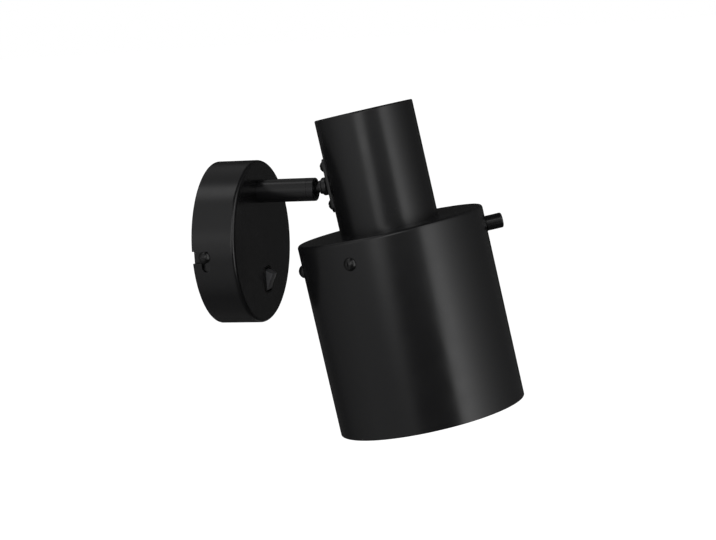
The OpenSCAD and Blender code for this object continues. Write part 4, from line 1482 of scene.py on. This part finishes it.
@dataclass
class Studio:
    """The camera, the soft lamps, the pale floor and the dome that the black paint mirrors."""

    target: Vector
    eye: tuple[float, float, float] = (-1.0012, -0.4066, 0.139)
    eye_right: tuple[float, float, float] = (0.2943, -0.9535, -0.0655)
    eye_up: tuple[float, float, float] = (0.1616, -0.0179, 0.9867)
    eye_back: tuple[float, float, float] = (-0.9419, -0.301, 0.1488)
    sensor: float = 36.0
    lens: float = 87.98
    fill: float = 0.5
    floor_z: float = -0.26
    floor_w: float = 40.0
    floor_grey: float = 0.9
    floor_glow: float = 0.6
    dome_r: float = 1.0
    dark: float = 0.02
    lamps: tuple[Softbox, ...] = (
        Softbox("front_lamp", 262, 0, 1.0, width=0.9, height=1.5, radiance=0.3),
        Softbox("wall_side_lamp", 165, 12, 1.0, width=1.0, height=0.8, radiance=0.9),
        Softbox("overhead_lamp", 165, 58, 1.0, width=0.5, height=0.35, radiance=1.0),
    )
    panels: tuple[Panel, ...] = (
        # The large screen in front of the lamp: the right-hand band on both shades
        Panel(231, 345, -24, 62, 1.5, hold=244, fade=22, gain_low=1.32, gain_from=-1, gain_to=9,
              soft_start=2, soft_low=8),
        # The narrow screen beside the camera: the left-hand band
        Panel(173, 189, -11, 42, 1.5, gain_low=0.12, gain_from=-6, gain_to=3, soft_start=2, soft_end=3,
              soft_low=2, slant=0.6),
        # The dim stretch between the two screens
        Panel(186, 229, -60, 50, 0.32, gain_low=0.1, gain_from=-4, gain_to=9),
        # The grey wall on the left, and the brighter rail across it that the canopy's side mirrors
        Panel(76, 184, -50, 60, 0.27, first=0.0, ramp_start=68, ramp_end=134, soft_low=24, soft_high=5),
        Panel(112, 182, -7, 60, 0.19, first=0.04, ramp_start=112, ramp_end=148, soft_low=6, soft_high=5),
        Panel(140, 170, 9, 20, 0.21, soft_low=5, soft_high=5),
        # Light from above on the tops of the canopy and the arm
        Panel(90, 130, 57, 80, 1.05, soft_start=12, soft_end=8, soft_low=4),
        Panel(20, 90, 36, 80, 0.18, soft_start=14, soft_end=8),
        # Faint light from behind and from the far side
        Panel(30, 110, -72, -45, 0.05, soft_start=14, soft_end=8),
        Panel(26, 78, -45, 34, 0.02, soft_start=8, soft_end=6),
        Panel(328, 354, -60, 60, 0.016, soft_start=10),
        # A low strip on the far side
        Panel(5, 14, -60, -12, 0.35, soft_start=3, soft_end=3, soft_high=4),
    )

    def build(self) -> None:
        """Builds everything round the object."""
        self.set_camera()
        for lamp in self.lamps:
            lamp.build(self.target)
        self.set_world()
        self.lay_floor()
        self.raise_dome()
        bpy.context.scene.view_settings.view_transform = "Standard"

    def set_camera(self) -> None:
        """Stands the camera where the photograph was taken."""
        camera = bpy.data.cameras.new("camera")
        camera.sensor_width = self.sensor
        camera.lens = self.lens
        stand = bpy.data.objects.new("camera", camera)
        place = Matrix((self.eye_right, self.eye_up, self.eye_back)).transposed().to_4x4()
        place.translation = Vector(self.eye)
        stand.matrix_world = place
        bpy.context.scene.collection.objects.link(stand)
        bpy.context.scene.camera = stand

    @staticmethod
    def seen(tree: NodeTree) -> NodeSocket:
        """One for camera, glossy and transmission rays, and zero for the rays that light the object.

        Args:
            tree: The tree that asks.

        Returns:
            One or zero.
        """
        path = add(tree, "ShaderNodeLightPath").outputs
        first = maths(tree, "ADD", path["Is Camera Ray"], path["Is Glossy Ray"])
        return maths(tree, "ADD", first, path["Is Transmission Ray"], clamp=True)

    def set_world(self) -> None:
        """Makes a white background with a dimmer even fill."""
        world = bpy.data.worlds.new("studio")
        bpy.context.scene.world = world
        world.use_nodes = True
        tree = world.node_tree
        tree.nodes.clear()
        strength = remap(tree, self.seen(tree), after=(self.fill, 1.0))
        light = add(tree, "ShaderNodeBackground", {"Color": WHITE, "Strength": strength})
        add(tree, "ShaderNodeOutputWorld", {"Surface": light.outputs[0]})

    def lay_floor(self) -> None:
        """Lays a pale floor that keeps the lamp's shadow, and is clear for whoever looks up through it."""
        mesh = bpy.data.meshes.new("floor")
        corners = [(x, y, self.floor_z) for x, y in rectangle(self.floor_w, self.floor_w)]
        mesh.from_pydata(corners, [], [(0, 1, 2, 3)])
        floor = mesh_object("floor", mesh)
        material = blank_material("pale_floor")
        tree = material.node_tree
        grey = (self.floor_grey, self.floor_grey, self.floor_grey, 1.0)
        matt = add(tree, "ShaderNodeBsdfDiffuse", {"Color": grey}).outputs[0]
        strength = maths(tree, "MULTIPLY", self.seen(tree), self.floor_glow)
        glow = add(tree, "ShaderNodeEmission", {"Color": WHITE, "Strength": strength}).outputs[0]
        both = add(tree, "ShaderNodeAddShader", {0: matt, 1: glow}).outputs[0]
        clear = add(tree, "ShaderNodeBsdfTransparent", {"Color": WHITE}).outputs[0]
        below = add(tree, "ShaderNodeNewGeometry").outputs["Backfacing"]
        sided = add(tree, "ShaderNodeMixShader", {0: below, 1: both, 2: clear}).outputs[0]
        add(tree, "ShaderNodeOutputMaterial", {"Surface": sided})
        mesh.materials.append(material)
        floor.visible_glossy = False

    def raise_dome(self) -> None:
        """Raises a dark dome with bright soft panels, like a studio's screens, that only reflections meet."""
        work = bmesh.new()
        bmesh.ops.create_uvsphere(work, u_segments=96, v_segments=48, radius=self.dome_r)
        mesh = new_mesh("dome", work)
        dome = mesh_object("dome", mesh)
        dome.location = self.target
        material = blank_material("dome_panels")
        material.cycles.emission_sampling = "NONE"
        tree = material.node_tree
        place = add(tree, "ShaderNodeTexCoord").outputs["Object"]
        way = add(tree, "ShaderNodeVectorMath", {0: place}, operation="NORMALIZE").outputs[0]
        x, y, z = add(tree, "ShaderNodeSeparateXYZ", {0: way}).outputs[:3]
        around = maths(tree, "ARCTAN2", y, x)
        turned = maths(tree, "WRAP", around, math.tau, 0.0)
        azimuth = maths(tree, "DEGREES", turned)
        up = maths(tree, "ARCSINE", z)
        elevation = maths(tree, "DEGREES", up)
        total = maths(tree, "ADD", self.dark, 0.0)
        for panel in self.panels:
            glow = panel.build(tree, azimuth, elevation)
            total = maths(tree, "ADD", total, glow)
        light = add(tree, "ShaderNodeEmission", {"Color": WHITE, "Strength": total}).outputs[0]
        add(tree, "ShaderNodeOutputMaterial", {"Surface": light})
        mesh.materials.append(material)
        for ray in ("camera", "diffuse", "transmission", "volume_scatter", "shadow"):
            setattr(dome, f"visible_{ray}", False)


def main() -> None:
    """Builds the studio and the lamp, from the wall outwards."""
    logging.basicConfig(level=logging.INFO, format="%(name)s: %(message)s")
    shop = Workshop()
    Studio(target=Vector((0.02, -0.08, -0.03))).build()
    Canopy(shop).build()
    RockerSwitch(shop).build()
    Arm(shop).build()
    shades = Shades(shop)
    shades.build()
    Bulb(shop, shades.axis).build()
    dress_nodes(shop)


if __name__ == "__main__":
    main()
